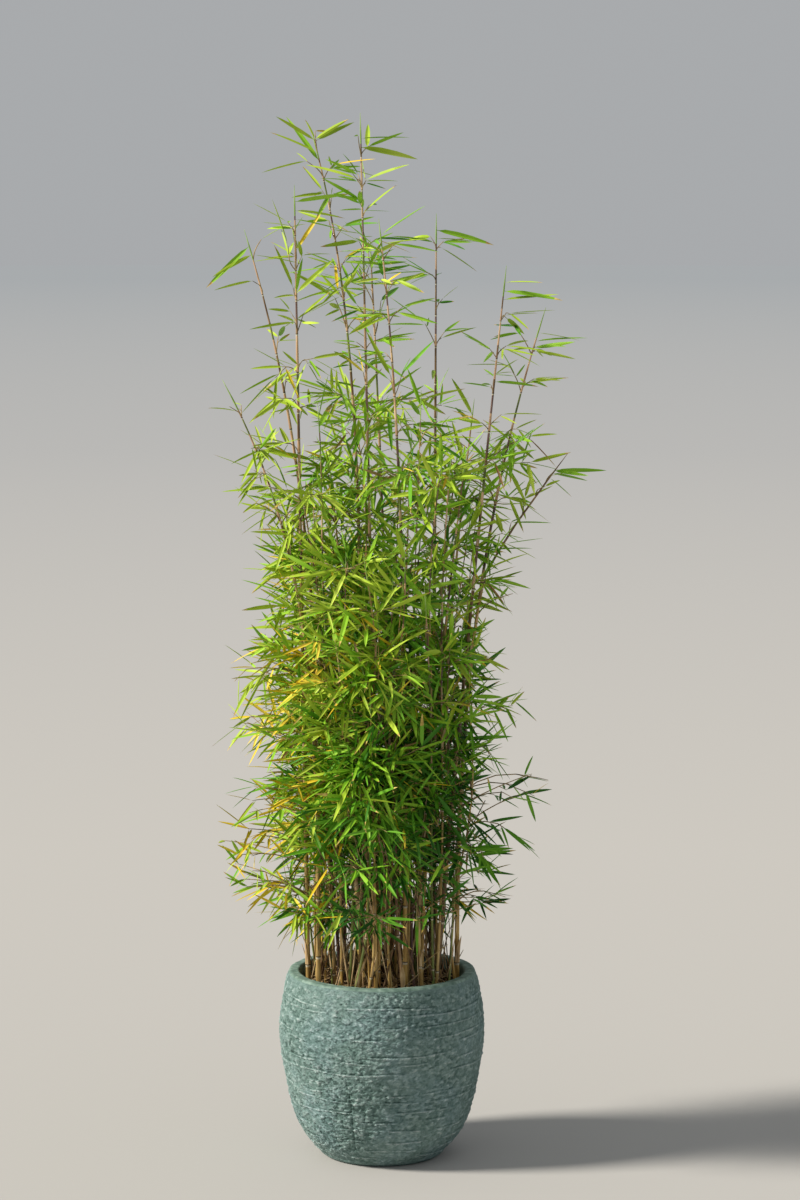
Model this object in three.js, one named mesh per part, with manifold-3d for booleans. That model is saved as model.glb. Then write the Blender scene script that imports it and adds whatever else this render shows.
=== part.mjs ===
// A clump of bamboo in a round pot of rough stone, in millimetres, with +Z up.
// The origin is the centre of the pot's flat underside. The front of the plant looks along -Y.
// The culms rise from the soil, lean out and end where they enter the foliage. Each foliage mass
// is one solid: a stem, its twigs and its leaves, and it keeps clear of every limb and every
// other mass.

import * as THREE from "three";
import { mergeVertices } from "three/addons/utils/BufferGeometryUtils.js";
import Module from "manifold-3d";

const wasm = await Module();
wasm.setup();

// Pot
const POT_HEIGHT = 345;
const RIM_WIDTH = 344;
const MOUTH_WIDTH = 303;
const FOOT_WIDTH = 224;
const FOOT_EDGE = 6; // the rounded edge round the underside
const RIM_EDGE = 4; // the rounded edges of the rim
const WALL = 24;
const POT_FLOOR = 26;
const FLOOR_WIDTH = 208; // inside
const SOIL_HEIGHT = 320;
const POT_SIDES = 32;
const WALL_STEPS = 9;

// The wall's outside between its foot and its rim: height and width. The belly is the widest.
const WALL_OUTLINE = [
  [45, 296],
  [101, 340],
  [225, 380],
  [316, 360],
];

// Culms
const CULM_WIDTH = 10; // of the thickest, above its flare
const CULM_TIP_WIDTH = 4.4; // where a culm enters its foliage
const FLARE = 1.35; // the foot's width beside the culm's own
const FLARE_HEIGHT = 28;
const CULM_SIDES = 5;
const CULM_STEPS = 7;
const CULMS_APART = 16;
const CLEARANCE = 0.3; // between solids that meet

// The tall culms: foot, tip of the whole shoot, how late it bends, and its leafy length.
const TALL_CULMS = [
  { foot: [-112, 18], tip: [-250, 60, 1700], bend: 3.1, leafy: 360 },
  { foot: [-135, -32], tip: [-156, -62, 1783], bend: 1, leafy: 330 },
  { foot: [-38, 34], tip: [-128, 14, 1884], bend: 4.8, leafy: 470 },
  { foot: [-6, -38], tip: [-39, -22, 1910], bend: 1.1, leafy: 520 },
  { foot: [18, 62], tip: [-22, 130, 1680], bend: 1.8, leafy: 400 },
  { foot: [42, -92], tip: [-6, -84, 1724], bend: 3.5, leafy: 420 },
  { foot: [94, 52], tip: [99, 96, 1728], bend: 1, leafy: 360 },
  { foot: [100, -42], tip: [222, -62, 1640], bend: 1.1, leafy: 360 },
  { foot: [138, 8], tip: [297, 36, 1560], bend: 2.5, leafy: 330 },
  { foot: [-116, -72], tip: [-284, -112, 1440], bend: 3.6, leafy: 330 },
];

// The short culms stand between the tall ones and carry the body of the crown.
const SHORT_CULMS = 14;
const CLUMP_RADIUS = 132;
const SEATS = 26;
const SEAT_SPACING = 27;
const SHORT_HEIGHTS = [940, 1340, 1120];
const HEIGHT_SPREAD = 60;
const SHORT_LEAFY = 360;
const SHORT_BEND = 1.6;
const SHORT_WIDTH = 8.6;
const SHORT_LEAN = 1.5; // how far from the middle the tip is, beside the foot
const SHORT_LEAN_OUT = 50;

// Lower crown
const SKIRT_MASSES = 8;
const SKIRT_HEIGHT = 560;
const SKIRT_STEP = 60;
const SKIRT_STEM = 150;
const SKIRT_RISE = 70;
const SKIRT_BOW = 2.2; // in radians: a stem bows over past its top at half pi

// Side branch on the right
const BRANCH_CULM = 8;
const BRANCH_HEIGHT = 1066;
const BRANCH_TIP = [304, 30, 1250];
const BRANCH_WIDTH = 4.4;
const BRANCH_TIP_WIDTH = 3.4;
const BRANCH_STEM_END = [338, 26, 1296];
const BRANCH_ARCH = 8; // how far its middle stands above a straight line

// Crown outline: height, reach to the left and reach to the right
const CROWN_OUTLINE = [
  [410, 235, 180],
  [540, 315, 300],
  [700, 330, 325],
  [860, 305, 285],
  [1020, 275, 265],
  [1160, 270, 310],
  [1300, 320, 415],
  [1500, 330, 370],
  [1700, 310, 260],
  [1950, 200, 110],
];

// Twigs and leaves
const STEM_WIDTH = 5;
const STEM_TIP_WIDTH = 3.4;
const STEM_STEPS = 4;
const STUB = 6; // a side stem leaves its culm level for this far
const TWIG_WIDTH = 4.2;
const TWIG_TIP_WIDTH = 3.4;
const LEAF_ROOT = 5; // along the twig
const LEAF_BROADEST = 0.36; // along the leaf
const LEAF_FOLD = 1; // how far the edges stand above the rib
const LEAF_ROLL = 0.15; // how far a leaf may turn about its rib
const END_SWAY = 0.5; // the end leaf rises and hangs less than those beside it
const GOLDEN_ANGLE = 2.4;
const SPEAR_LENGTH = 95;
const SPEAR_FOOT_WIDTH = 3;
const SPEAR_RADII = [2.1, 0.4]; // at its broadest and at its point
const SPRAY_LEAST = 3; // leaves
const CROWN_TOP = 1905;
const ROUNDS = 14;
const TRIES = 60; // for a twig in each round

// How each kind of mass grows: leaves wanted, twig and leaf sizes, and how far they rise.
// Sway is how much a leaf's rise varies.
const TOP_GROWTH = {
  leaves: 16,
  twig: [30, 58],
  leaf: [92, 118],
  width: 12,
  spread: 170,
  twigRise: 0.7,
  leafRise: 0,
  sway: 0.35,
};
const BODY_GROWTH = {
  leaves: 29,
  twig: [45, 90],
  leaf: [110, 132],
  width: 17,
  spread: 230,
  twigRise: 0.3,
  leafRise: -0.35,
  sway: 0.45,
};
const SKIRT_GROWTH = { ...BODY_GROWTH, twigRise: -0.05, leafRise: -0.6 };
const BRANCH_GROWTH = { ...TOP_GROWTH, leaves: 8, twig: [26, 40], leaf: [80, 96], spread: 140 };

const UP = new THREE.Vector3(0, 0, 1);
const plant = new THREE.Group();

// Colours and finishes
function finish(colour, roughness) {
  return new THREE.MeshStandardMaterial({ color: colour, roughness, metalness: 0 });
}
const stone = finish(0x6f8480, 0.9);
const earth = finish(0x3b2c22, 1);
const cane = finish(0xa88a5c, 0.6);
const brightLeaf = finish(0x8cb63c, 0.55);
const leaf = finish(0x5f9436, 0.55);
const shadedLeaf = finish(0x4a7d3a, 0.55);

function place(name, geometry, material) {
  const mesh = new THREE.Mesh(geometry, material);
  mesh.name = name;
  plant.add(mesh);
}

// Seeded random numbers, so that the plant grows the same way each time
function seededRandom(seed) {
  let state = seed;
  return () => {
    state = (state + 0x6d2b79f5) | 0;
    let mixed = Math.imul(state ^ (state >>> 15), 1 | state);
    mixed = (mixed + Math.imul(mixed ^ (mixed >>> 7), 61 | mixed)) ^ mixed;
    return ((mixed ^ (mixed >>> 14)) >>> 0) / 2 ** 32;
  };
}

function between(random, low, high) {
  return low + (high - low) * random();
}

// Pot and soil

// The outside of the wall from the foot to the rim, as a smooth curve through the outline
function wallOutside() {
  const rows = [
    [FOOT_EDGE, FOOT_WIDTH + FOOT_EDGE],
    ...WALL_OUTLINE,
    [POT_HEIGHT - RIM_EDGE, RIM_WIDTH],
  ];
  const curve = new THREE.SplineCurve(rows.map(([height, width]) => new THREE.Vector2(width / 2, height)));
  return curve.getPoints(WALL_STEPS);
}

// The inside of the wall between the rim and the floor, from the top down
function wallInside() {
  const points = wallOutside().reverse();
  const inside = points.map((p) => new THREE.Vector2(p.x - WALL, p.y));
  return inside.filter((p) => p.y > POT_FLOOR + WALL && p.y < SOIL_HEIGHT - WALL);
}

function potGeometry() {
  const outer = RIM_WIDTH / 2;
  const inner = MOUTH_WIDTH / 2;
  const profile = [
    new THREE.Vector2(0, 0),
    new THREE.Vector2(FOOT_WIDTH / 2, 0),
    ...wallOutside(),
    new THREE.Vector2(outer - RIM_EDGE, POT_HEIGHT),
    new THREE.Vector2(inner + RIM_EDGE, POT_HEIGHT),
    new THREE.Vector2(inner, POT_HEIGHT - RIM_EDGE),
    new THREE.Vector2(inner, SOIL_HEIGHT),
    ...wallInside(),
    new THREE.Vector2(FLOOR_WIDTH / 2, POT_FLOOR),
    new THREE.Vector2(0, POT_FLOOR),
  ];
  return turned(profile);
}

// The soil fills the pot up to its mouth, a clearance inside the wall
function soilGeometry() {
  const gap = CLEARANCE * 2; // the wall slants, so the gap across it is less
  const profile = [
    new THREE.Vector2(0, POT_FLOOR + CLEARANCE),
    new THREE.Vector2(FLOOR_WIDTH / 2 - gap, POT_FLOOR + CLEARANCE),
    ...wallInside().reverse().map((p) => new THREE.Vector2(p.x - gap, p.y)),
    new THREE.Vector2(MOUTH_WIDTH / 2 - gap, SOIL_HEIGHT),
    new THREE.Vector2(0, SOIL_HEIGHT),
  ];
  return turned(profile);
}

// A lathe turns about Y, so it is laid over to stand on Z
function turned(profile) {
  return new THREE.LatheGeometry(profile, POT_SIDES).rotateX(Math.PI / 2);
}

// Limbs

// A closed, flat-sided tube through points, each with its own radius. With level true every
// ring lies level, so that a culm's foot and top are cut flat.
function limbGeometry(points, radii, sides, level = false) {
  const whole = points[points.length - 1].clone().sub(points[0]).normalize();
  const across = level || Math.abs(whole.x) < 0.8 ? new THREE.Vector3(1, 0, 0) : UP;
  const positions = [];
  points.forEach((point, i) => {
    const before = points[Math.max(i - 1, 0)];
    const after = points[Math.min(i + 1, points.length - 1)];
    const along = level ? UP.clone() : after.clone().sub(before).normalize();
    const v = along.clone().cross(across).normalize();
    const u = v.clone().cross(along);
    for (let side = 0; side < sides; side += 1) {
      const angle = (side / sides) * Math.PI * 2;
      const spot = point.clone();
      spot.addScaledVector(u, radii[i] * Math.cos(angle));
      spot.addScaledVector(v, radii[i] * Math.sin(angle));
      positions.push(spot.x, spot.y, spot.z);
    }
  });
  return closedGeometry(positions, tubeFaces(points.length, sides));
}

function tubeFaces(rings, sides) {
  const faces = [];
  for (let ring = 0; ring < rings - 1; ring += 1) {
    for (let side = 0; side < sides; side += 1) {
      const a = ring * sides + side;
      const b = ring * sides + ((side + 1) % sides);
      faces.push(a, b, a + sides);
      faces.push(b, b + sides, a + sides);
    }
  }
  const last = (rings - 1) * sides;
  for (let side = 1; side < sides - 1; side += 1) {
    faces.push(0, side + 1, side);
    faces.push(last, last + side, last + side + 1);
  }
  return faces;
}

function closedGeometry(positions, faces) {
  const geometry = new THREE.BufferGeometry();
  geometry.setAttribute("position", new THREE.Float32BufferAttribute(positions, 3));
  geometry.setIndex(faces);
  return geometry;
}

// A shoot's axis: straight up in height, and leaning out late in its length
function shootPoint(shoot, height) {
  const rise = (height - SOIL_HEIGHT) / (shoot.tip[2] - SOIL_HEIGHT);
  const lean = Math.pow(Math.max(rise, 0), shoot.bend);
  const x = shoot.foot[0] + (shoot.tip[0] - shoot.foot[0]) * lean;
  const y = shoot.foot[1] + (shoot.tip[1] - shoot.foot[1]) * lean;
  return new THREE.Vector3(x, y, height);
}

function culmTop(shoot) {
  return shoot.tip[2] - shoot.leafy;
}

function culmRadius(shoot, height) {
  const rise = (height - SOIL_HEIGHT) / (culmTop(shoot) - SOIL_HEIGHT);
  const own = THREE.MathUtils.lerp(shoot.width, CULM_TIP_WIDTH, rise) / 2;
  const flare = Math.max(0, 1 - (height - SOIL_HEIGHT) / FLARE_HEIGHT);
  return own * (1 + (FLARE - 1) * flare);
}

function culmHeights(shoot) {
  const foot = SOIL_HEIGHT + CLEARANCE;
  const aboveFlare = SOIL_HEIGHT + FLARE_HEIGHT;
  const heights = [foot];
  for (let step = 0; step <= CULM_STEPS; step += 1) {
    heights.push(THREE.MathUtils.lerp(aboveFlare, culmTop(shoot), step / CULM_STEPS));
  }
  return heights;
}

function culmGeometry(shoot) {
  const heights = culmHeights(shoot);
  const points = heights.map((height) => shootPoint(shoot, height));
  const radii = heights.map((height) => culmRadius(shoot, height));
  return limbGeometry(points, radii, CULM_SIDES, true);
}

// The middle of a culm as built, which runs straight from ring to ring
function culmAxis(shoot, height) {
  const heights = culmHeights(shoot);
  const upper = heights.findIndex((ring) => ring >= height);
  const [below, above] = [heights[upper - 1], heights[upper]];
  return shootPoint(shoot, below).lerp(shootPoint(shoot, above), (height - below) / (above - below));
}

// True if two shoots stand and lean without coming close to each other
function standApart(one, other) {
  const feet = Math.hypot(one.foot[0] - other.foot[0], one.foot[1] - other.foot[1]);
  if (feet < SEAT_SPACING) return false;
  const lower = Math.min(culmTop(one), culmTop(other));
  for (let height = SOIL_HEIGHT; height < lower; height += FLARE_HEIGHT) {
    if (shootPoint(one, height).distanceTo(shootPoint(other, height)) < CULMS_APART) return false;
  }
  return true;
}

// The short culms fill the seats of a sunflower's pattern that the tall ones leave free
function shortCulms() {
  const random = seededRandom(7);
  const shoots = [];
  for (let seat = 0; shoots.length < SHORT_CULMS && seat < SEATS * 3; seat += 1) {
    const angle = seat * GOLDEN_ANGLE + 0.6;
    const radius = CLUMP_RADIUS * Math.sqrt(((seat % SEATS) + 0.5) / SEATS);
    const foot = [radius * Math.cos(angle), radius * Math.sin(angle)];
    const height = SHORT_HEIGHTS[shoots.length % 3] + between(random, -1, 1) * HEIGHT_SPREAD;
    const reach = radius * SHORT_LEAN + SHORT_LEAN_OUT;
    const tip = [reach * Math.cos(angle), reach * Math.sin(angle), height];
    const shoot = { foot, tip, bend: SHORT_BEND, leafy: SHORT_LEAFY };
    if ([...TALL_CULMS, ...shoots].every((other) => standApart(shoot, other))) shoots.push(shoot);
  }
  return shoots;
}

// Room

// Every limb, twig and leaf is noted as bars: a line with a reach round it
const bars = [];

function note(from, to, reach, mass, twig) {
  const line = new THREE.Line3(from, to);
  const centre = line.getCenter(new THREE.Vector3());
  bars.push({ line, centre, half: line.distance() / 2, reach, mass, twig });
}

function noteLimb(points, radii, mass) {
  for (let i = 1; i < points.length; i += 1) {
    note(points[i - 1], points[i], Math.max(radii[i - 1], radii[i]), mass, "stem");
  }
}

// True if a new line with its reach keeps clear of all that is noted, apart from the mass's
// own stem and the twig that it grows on
function isFree(from, to, reach, mass, twig) {
  const line = new THREE.Line3(from, to);
  const centre = line.getCenter(new THREE.Vector3());
  const half = line.distance() / 2;
  return bars.every((bar) => {
    if (bar.mass === mass && (bar.twig === "stem" || bar.twig === twig)) return true;
    const apart = reach + bar.reach + CLEARANCE * 1.3;
    if (centre.distanceTo(bar.centre) > half + bar.half + apart) return true;
    return line.distanceSqToLine3(bar.line) > apart * apart;
  });
}

function crownReach(point) {
  const rows = CROWN_OUTLINE;
  const height = THREE.MathUtils.clamp(point.z, rows[0][0], rows[rows.length - 1][0]);
  const upper = Math.max(1, rows.findIndex((row) => row[0] >= height));
  const share = (height - rows[upper - 1][0]) / (rows[upper][0] - rows[upper - 1][0]);
  const left = THREE.MathUtils.lerp(rows[upper - 1][1], rows[upper][1], share);
  const right = THREE.MathUtils.lerp(rows[upper - 1][2], rows[upper][2], share);
  const turn = (1 + point.x / Math.max(Math.hypot(point.x, point.y), 1)) / 2;
  return THREE.MathUtils.lerp(left, right, turn);
}

// True if a point lies in the crown and in the mass's own space round its stem
function isInside(point, stem, spread) {
  if (point.z < CROWN_OUTLINE[0][0] || point.z > CROWN_TOP) return false;
  if (Math.hypot(point.x, point.y) > crownReach(point)) return false;
  return stem.some((spot) => spot.distanceTo(point) < spread);
}

// Foliage

// A spray is a three-sided twig that ends in a leaf, with leaves in two ranks on its sides. Each
// leaf grows out of a triangle of the twig's own surface, so that the spray is one closed body.
function sprayGeometry(base, end, leaves, width) {
  const along = end.clone().sub(base);
  const length = along.length();
  along.normalize();
  const side = along.clone().cross(UP).normalize();
  const normal = side.clone().cross(along);
  const back = leaves.some((one) => one.seat.endsWith("back"));
  const middle = back ? [length * 0.5, length * 0.5 + LEAF_ROOT] : [];
  const stations = [0, ...middle, length - LEAF_ROOT, length];
  const corners = [];
  stations.forEach((station) => {
    const radius = THREE.MathUtils.lerp(TWIG_WIDTH, TWIG_TIP_WIDTH, station / length) / 2;
    const centre = base.clone().addScaledVector(along, station);
    const top = centre.clone().addScaledVector(normal, radius / 2);
    corners.push(top.clone().addScaledVector(side, -radius));
    corners.push(top.clone().addScaledVector(side, radius));
    corners.push(centre.clone().addScaledVector(normal, -radius));
  });
  const faces = [0, 2, 1];
  const put = (seat, left, right, rib) => {
    const grown = leaves.find((one) => one.seat === seat);
    if (grown) faces.push(...leafFaces(corners, grown, left, right, rib, width));
    else faces.push(left, right, rib);
  };
  for (let ring = 0; ring < stations.length - 1; ring += 1) {
    const [left, right, rib] = [ring * 3, ring * 3 + 1, ring * 3 + 2];
    const [nextLeft, nextRight, nextRib] = [left + 3, right + 3, rib + 3];
    faces.push(left, right, nextLeft, right, nextRight, nextLeft);
    faces.push(right, rib, nextRib, rib, left, nextRib);
    const seats = { 1: "back", [stations.length - 2]: "front" };
    put("left " + seats[ring], left, nextLeft, nextRib);
    put("right " + seats[ring], nextRight, right, nextRib);
  }
  const last = (stations.length - 1) * 3;
  put("end", last, last + 1, last + 2);
  return closedGeometry(corners.flatMap((c) => [c.x, c.y, c.z]), faces);
}

// A leaf on a triangle of the twig: flat above, with its rib below, and pointed. It lies as the
// twig's own edge does, give or take its roll, so that its faces never cross the twig's.
function leafFaces(corners, grown, left, right, rib, width) {
  const root = corners[left].clone().lerp(corners[right], 0.5);
  const edge = corners[right].clone().sub(corners[left]);
  const side = edge.addScaledVector(grown.way, -edge.dot(grown.way)).normalize();
  side.applyAxisAngle(grown.way, grown.roll);
  const normal = side.clone().cross(grown.way);
  const middle = root.clone().addScaledVector(grown.way, grown.length * LEAF_BROADEST);
  middle.addScaledVector(normal, LEAF_FOLD);
  const first = corners.length;
  corners.push(middle.clone().addScaledVector(side, -width / 2));
  corners.push(middle.clone().addScaledVector(side, width / 2));
  corners.push(root.clone().addScaledVector(grown.way, grown.length));
  const [wideLeft, wideRight, point] = [first, first + 1, first + 2];
  return [
    left, right, wideRight, left, wideRight, wideLeft, wideLeft, wideRight, point,
    right, rib, wideRight, rib, point, wideRight,
    rib, left, wideLeft, rib, wideLeft, point,
  ];
}

// The leaf's bars: its root, its broad middle and its point
function leafBars(root, along, length, width) {
  const spot = (share) => root.clone().addScaledVector(along, length * share);
  const reach = width / 2 + 1;
  return [
    [spot(0), spot(0.16), reach * 0.5],
    [spot(0.16), spot(0.65), reach],
    [spot(0.65), spot(1), reach * 0.6],
  ];
}

function solidFrom(geometry) {
  const bare = geometry.clone();
  bare.deleteAttribute("normal");
  bare.deleteAttribute("uv");
  const merged = mergeVertices(bare, 1e-4);
  const mesh = new wasm.Mesh({
    numProp: 3,
    vertProperties: merged.attributes.position.array,
    triVerts: new Uint32Array(merged.index.array),
  });
  return new wasm.Manifold(mesh);
}

// Joins the pieces of a mass into one closed solid
function fuse(geometries) {
  const whole = wasm.Manifold.union(geometries.map(solidFrom)).simplify(0.02);
  const bodies = whole.decompose().sort((a, b) => b.volume() - a.volume());
  const mesh = bodies[0].getMesh();
  return closedGeometry(Array.from(mesh.vertProperties), Array.from(mesh.triVerts));
}

// The leaves of a spray: where each sits, how far along the twig, and how far it turns aside.
// The leaves further back turn further, so that they never cross.
const SPRAY_SEATS = [
  { seat: "end", share: 1, turn: 0 },
  { seat: "left front", share: 0.95, turn: 0.8 },
  { seat: "right front", share: 0.95, turn: -0.8 },
  { seat: "left back", share: 0.52, turn: 1.2 },
  { seat: "right back", share: 0.52, turn: -1.2 },
];

// Tries a leaf, and keeps it where it is free and inside the mass's space
function tryLeaf(mass, twig, root, way, random) {
  const growth = mass.growth;
  const length = between(random, ...growth.leaf);
  const point = root.clone().addScaledVector(way, length);
  if (!isInside(point, mass.stem, growth.spread)) return null;
  const parts = leafBars(root, way, length, growth.width);
  if (!parts.every(([from, to, reach]) => isFree(from, to, reach, mass.name, twig))) return null;
  parts.forEach(([from, to, reach]) => note(from, to, reach, mass.name, twig));
  return { way, length, roll: between(random, -LEAF_ROLL, LEAF_ROLL) };
}

function growSpray(mass, twig, base, end, random) {
  const along = end.clone().sub(base).normalize();
  const leaves = [];
  SPRAY_SEATS.forEach(({ seat, share, turn }) => {
    const root = base.clone().lerp(end, share);
    const way = along.clone().applyAxisAngle(UP, turn + between(random, -0.1, 0.1));
    const rise = mass.growth.leafRise + between(random, -mass.growth.sway, mass.growth.sway);
    way.z += seat === "end" ? rise * END_SWAY : rise;
    const grown = tryLeaf(mass, twig, root, way.normalize(), random);
    if (grown) leaves.push({ seat, ...grown });
  });
  return leaves;
}

// A point on the stem at a share of its length
function onStem(stem, share) {
  const place = share * (stem.length - 1);
  const i = Math.min(Math.floor(place), stem.length - 2);
  return stem[i].clone().lerp(stem[i + 1], place - i);
}

// Tries places for a twig round the stem until one carries a spray
function growTwig(mass) {
  const { random, growth, stem, name } = mass;
  for (let n = 0; n < TRIES; n += 1) {
    mass.tried += 1;
    const base = onStem(stem, 0.06 + 0.92 * ((mass.tried * 0.382) % 1));
    const angle = mass.turn + mass.tried * GOLDEN_ANGLE;
    const way = new THREE.Vector3(Math.cos(angle), Math.sin(angle), 0);
    way.z = growth.twigRise + between(random, -0.3, 0.3);
    const end = base.clone().addScaledVector(way.normalize(), between(random, ...growth.twig));
    const twig = "twig" + mass.tried;
    if (!isInside(end, stem, growth.spread)) continue;
    if (!isFree(base, end, TWIG_WIDTH / 2, name, twig)) continue;
    const noted = bars.length;
    note(base, end, TWIG_WIDTH / 2, name, twig);
    const leaves = growSpray(mass, twig, base, end, random);
    if (leaves.length >= SPRAY_LEAST) {
      mass.kept += leaves.length;
      mass.pieces.push(sprayGeometry(base, end, leaves, growth.width));
      return;
    }
    bars.length = noted;
  }
}

// Starts a mass with its stem and notes it, so that its neighbours keep clear of it
function startMass(name, stem, radii, growth, material, level) {
  const random = seededRandom(100 + bars.length);
  const turn = between(random, 0, Math.PI * 2);
  const mass = { name, stem, growth, material, random, turn, pieces: [], tried: 0, kept: 0 };
  mass.pieces.push(limbGeometry(stem, radii, 3, level));
  noteLimb(stem, radii, name);
  return mass;
}

function taper(count, from, to) {
  const radii = [];
  for (let i = 0; i < count; i += 1) {
    radii.push(THREE.MathUtils.lerp(from, to, i / (count - 1)) / 2);
  }
  return radii;
}

// A mass on a culm's top: its stem carries on along the same shoot and ends in a rolled leaf
function massOnTop(name, shoot, growth, material) {
  const from = culmTop(shoot) + CLEARANCE;
  const spearFoot = shoot.tip[2] - SPEAR_LENGTH;
  const heights = [];
  for (let i = 0; i <= STEM_STEPS; i += 1) {
    heights.push(THREE.MathUtils.lerp(from, spearFoot, i / STEM_STEPS));
  }
  heights.push(spearFoot + SPEAR_LENGTH * 0.3, shoot.tip[2]);
  const stem = heights.map((height) => shootPoint(shoot, height));
  const radii = [...taper(STEM_STEPS + 1, CULM_TIP_WIDTH, SPEAR_FOOT_WIDTH), ...SPEAR_RADII];
  return startMass(name, stem, radii, growth, material, true);
}

// Where a stem starts on a culm's side, clear of the culm's flat faces
function besideCulm(shoot, height, angle, width) {
  const axis = culmAxis(shoot, height);
  const above = culmAxis(shoot, height + 1);
  const lean = Math.hypot(above.x - axis.x, above.y - axis.y);
  const turns = Array.from({ length: CULM_SIDES }, (_, i) => (i / CULM_SIDES) * Math.PI * 2);
  const corner = Math.max(...turns.map((turn) => Math.cos(angle - turn)));
  const distance = culmRadius(shoot, height) * corner + CLEARANCE + (lean * width) / 2;
  const out = new THREE.Vector3(Math.cos(angle), Math.sin(angle), 0);
  return { start: axis.addScaledVector(out, distance), out };
}

// The culm that stands furthest out in a direction at a height
function outermost(shoots, height, angle) {
  const out = new THREE.Vector2(Math.cos(angle), Math.sin(angle));
  const reach = (shoot) => {
    const spot = shootPoint(shoot, height);
    return spot.x * out.x + spot.y * out.y - 0.6 * Math.abs(spot.x * out.y - spot.y * out.x);
  };
  const tallEnough = shoots.filter((shoot) => culmTop(shoot) > height + 40);
  return tallEnough.reduce((best, shoot) => (reach(shoot) > reach(best) ? shoot : best));
}

// A mass of the lower crown, whose stem leaves a culm level, rises and bows over
function skirtMass(name, shoots, number) {
  const angle = ((number + 0.5) / SKIRT_MASSES) * Math.PI * 2;
  const height = SKIRT_HEIGHT + (number % 2) * SKIRT_STEP;
  const shoot = outermost(shoots, height, angle);
  const { start, out } = besideCulm(shoot, height, angle, STEM_WIDTH);
  const stem = [start, start.clone().addScaledVector(out, STUB)];
  for (let i = 1; i <= STEM_STEPS; i += 1) {
    const share = i / STEM_STEPS;
    const spot = start.clone().addScaledVector(out, STUB + (SKIRT_STEM - STUB) * share);
    spot.z += SKIRT_RISE * Math.sin(share * SKIRT_BOW);
    stem.push(spot);
  }
  const radii = taper(stem.length, STEM_WIDTH, STEM_TIP_WIDTH);
  return startMass(name, stem, radii, SKIRT_GROWTH, shadedLeaf, false);
}

// The branch on the right, and the leaves at its end
function sideBranch(shoot) {
  const tip = new THREE.Vector3(...BRANCH_TIP);
  const axis = shootPoint(shoot, BRANCH_HEIGHT);
  const angle = Math.atan2(tip.y - axis.y, tip.x - axis.x);
  const { start, out } = besideCulm(shoot, BRANCH_HEIGHT, angle, BRANCH_WIDTH);
  const points = [start, start.clone().addScaledVector(out, STUB)];
  const knee = start.clone().lerp(tip, 0.5).addScaledVector(UP, BRANCH_ARCH);
  points.push(knee, tip);
  const branchRadii = taper(points.length, BRANCH_WIDTH, BRANCH_TIP_WIDTH);
  place("branch_right", limbGeometry(points, branchRadii, 4), cane);
  noteLimb(points, branchRadii, "branch_right");
  const end = new THREE.Vector3(...BRANCH_STEM_END);
  const along = tip.clone().sub(knee).normalize();
  const from = tip.clone().addScaledVector(along, CLEARANCE);
  const stem = [from, from.clone().addScaledVector(along, STUB * 2), end];
  const foot = BRANCH_TIP_WIDTH / 2;
  const radii = [foot, foot, SPEAR_RADII[1]];
  return startMass("leaves_branch_right", stem, radii, BRANCH_GROWTH, leaf, false);
}

// The plant

place("pot", potGeometry(), stone);
place("soil", soilGeometry(), earth);

const shoots = [...TALL_CULMS, ...shortCulms()];
shoots.forEach((shoot, i) => {
  shoot.width = i < TALL_CULMS.length ? CULM_WIDTH : SHORT_WIDTH;
  const number = String(i + 1).padStart(2, "0");
  place("culm_" + number, culmGeometry(shoot), cane);
  const heights = culmHeights(shoot);
  const points = heights.map((height) => shootPoint(shoot, height));
  noteLimb(points, heights.map((height) => culmRadius(shoot, height)), "culm_" + number);
});

const masses = shoots.map((shoot, i) => {
  const number = String(i + 1).padStart(2, "0");
  const tall = i < TALL_CULMS.length;
  const growth = tall ? TOP_GROWTH : BODY_GROWTH;
  return massOnTop("leaves_on_culm_" + number, shoot, growth, tall ? brightLeaf : leaf);
});
masses.push(sideBranch(shoots[BRANCH_CULM]));
for (let number = 0; number < SKIRT_MASSES; number += 1) {
  masses.push(skirtMass("leaves_skirt_" + (number + 1), shoots, number));
}

// The masses grow a twig each in turn, so that none takes its neighbour's room
for (let round = 0; round < ROUNDS; round += 1) {
  masses.filter((mass) => mass.kept < mass.growth.leaves).forEach(growTwig);
}
masses.forEach((mass) => place(mass.name, fuse(mass.pieces), mass.material));

export default plant;
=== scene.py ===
# %% [markdown]
# This lesson dresses a clump of bamboo in a round stone pot, about 1.9 m tall. A imported CAD model
# gives the frame in metres, with Z up: the pot, its soil, 24 culms, a side branch and 33 masses
# of leaves. The masses of the frame are coarse, so here the same shoots are grown again with
# finer twigs and true leaves. The frame is loaded first.

# %% Load the frame
import math
import random

import bpy
import numpy as np
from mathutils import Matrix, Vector, noise


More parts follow.
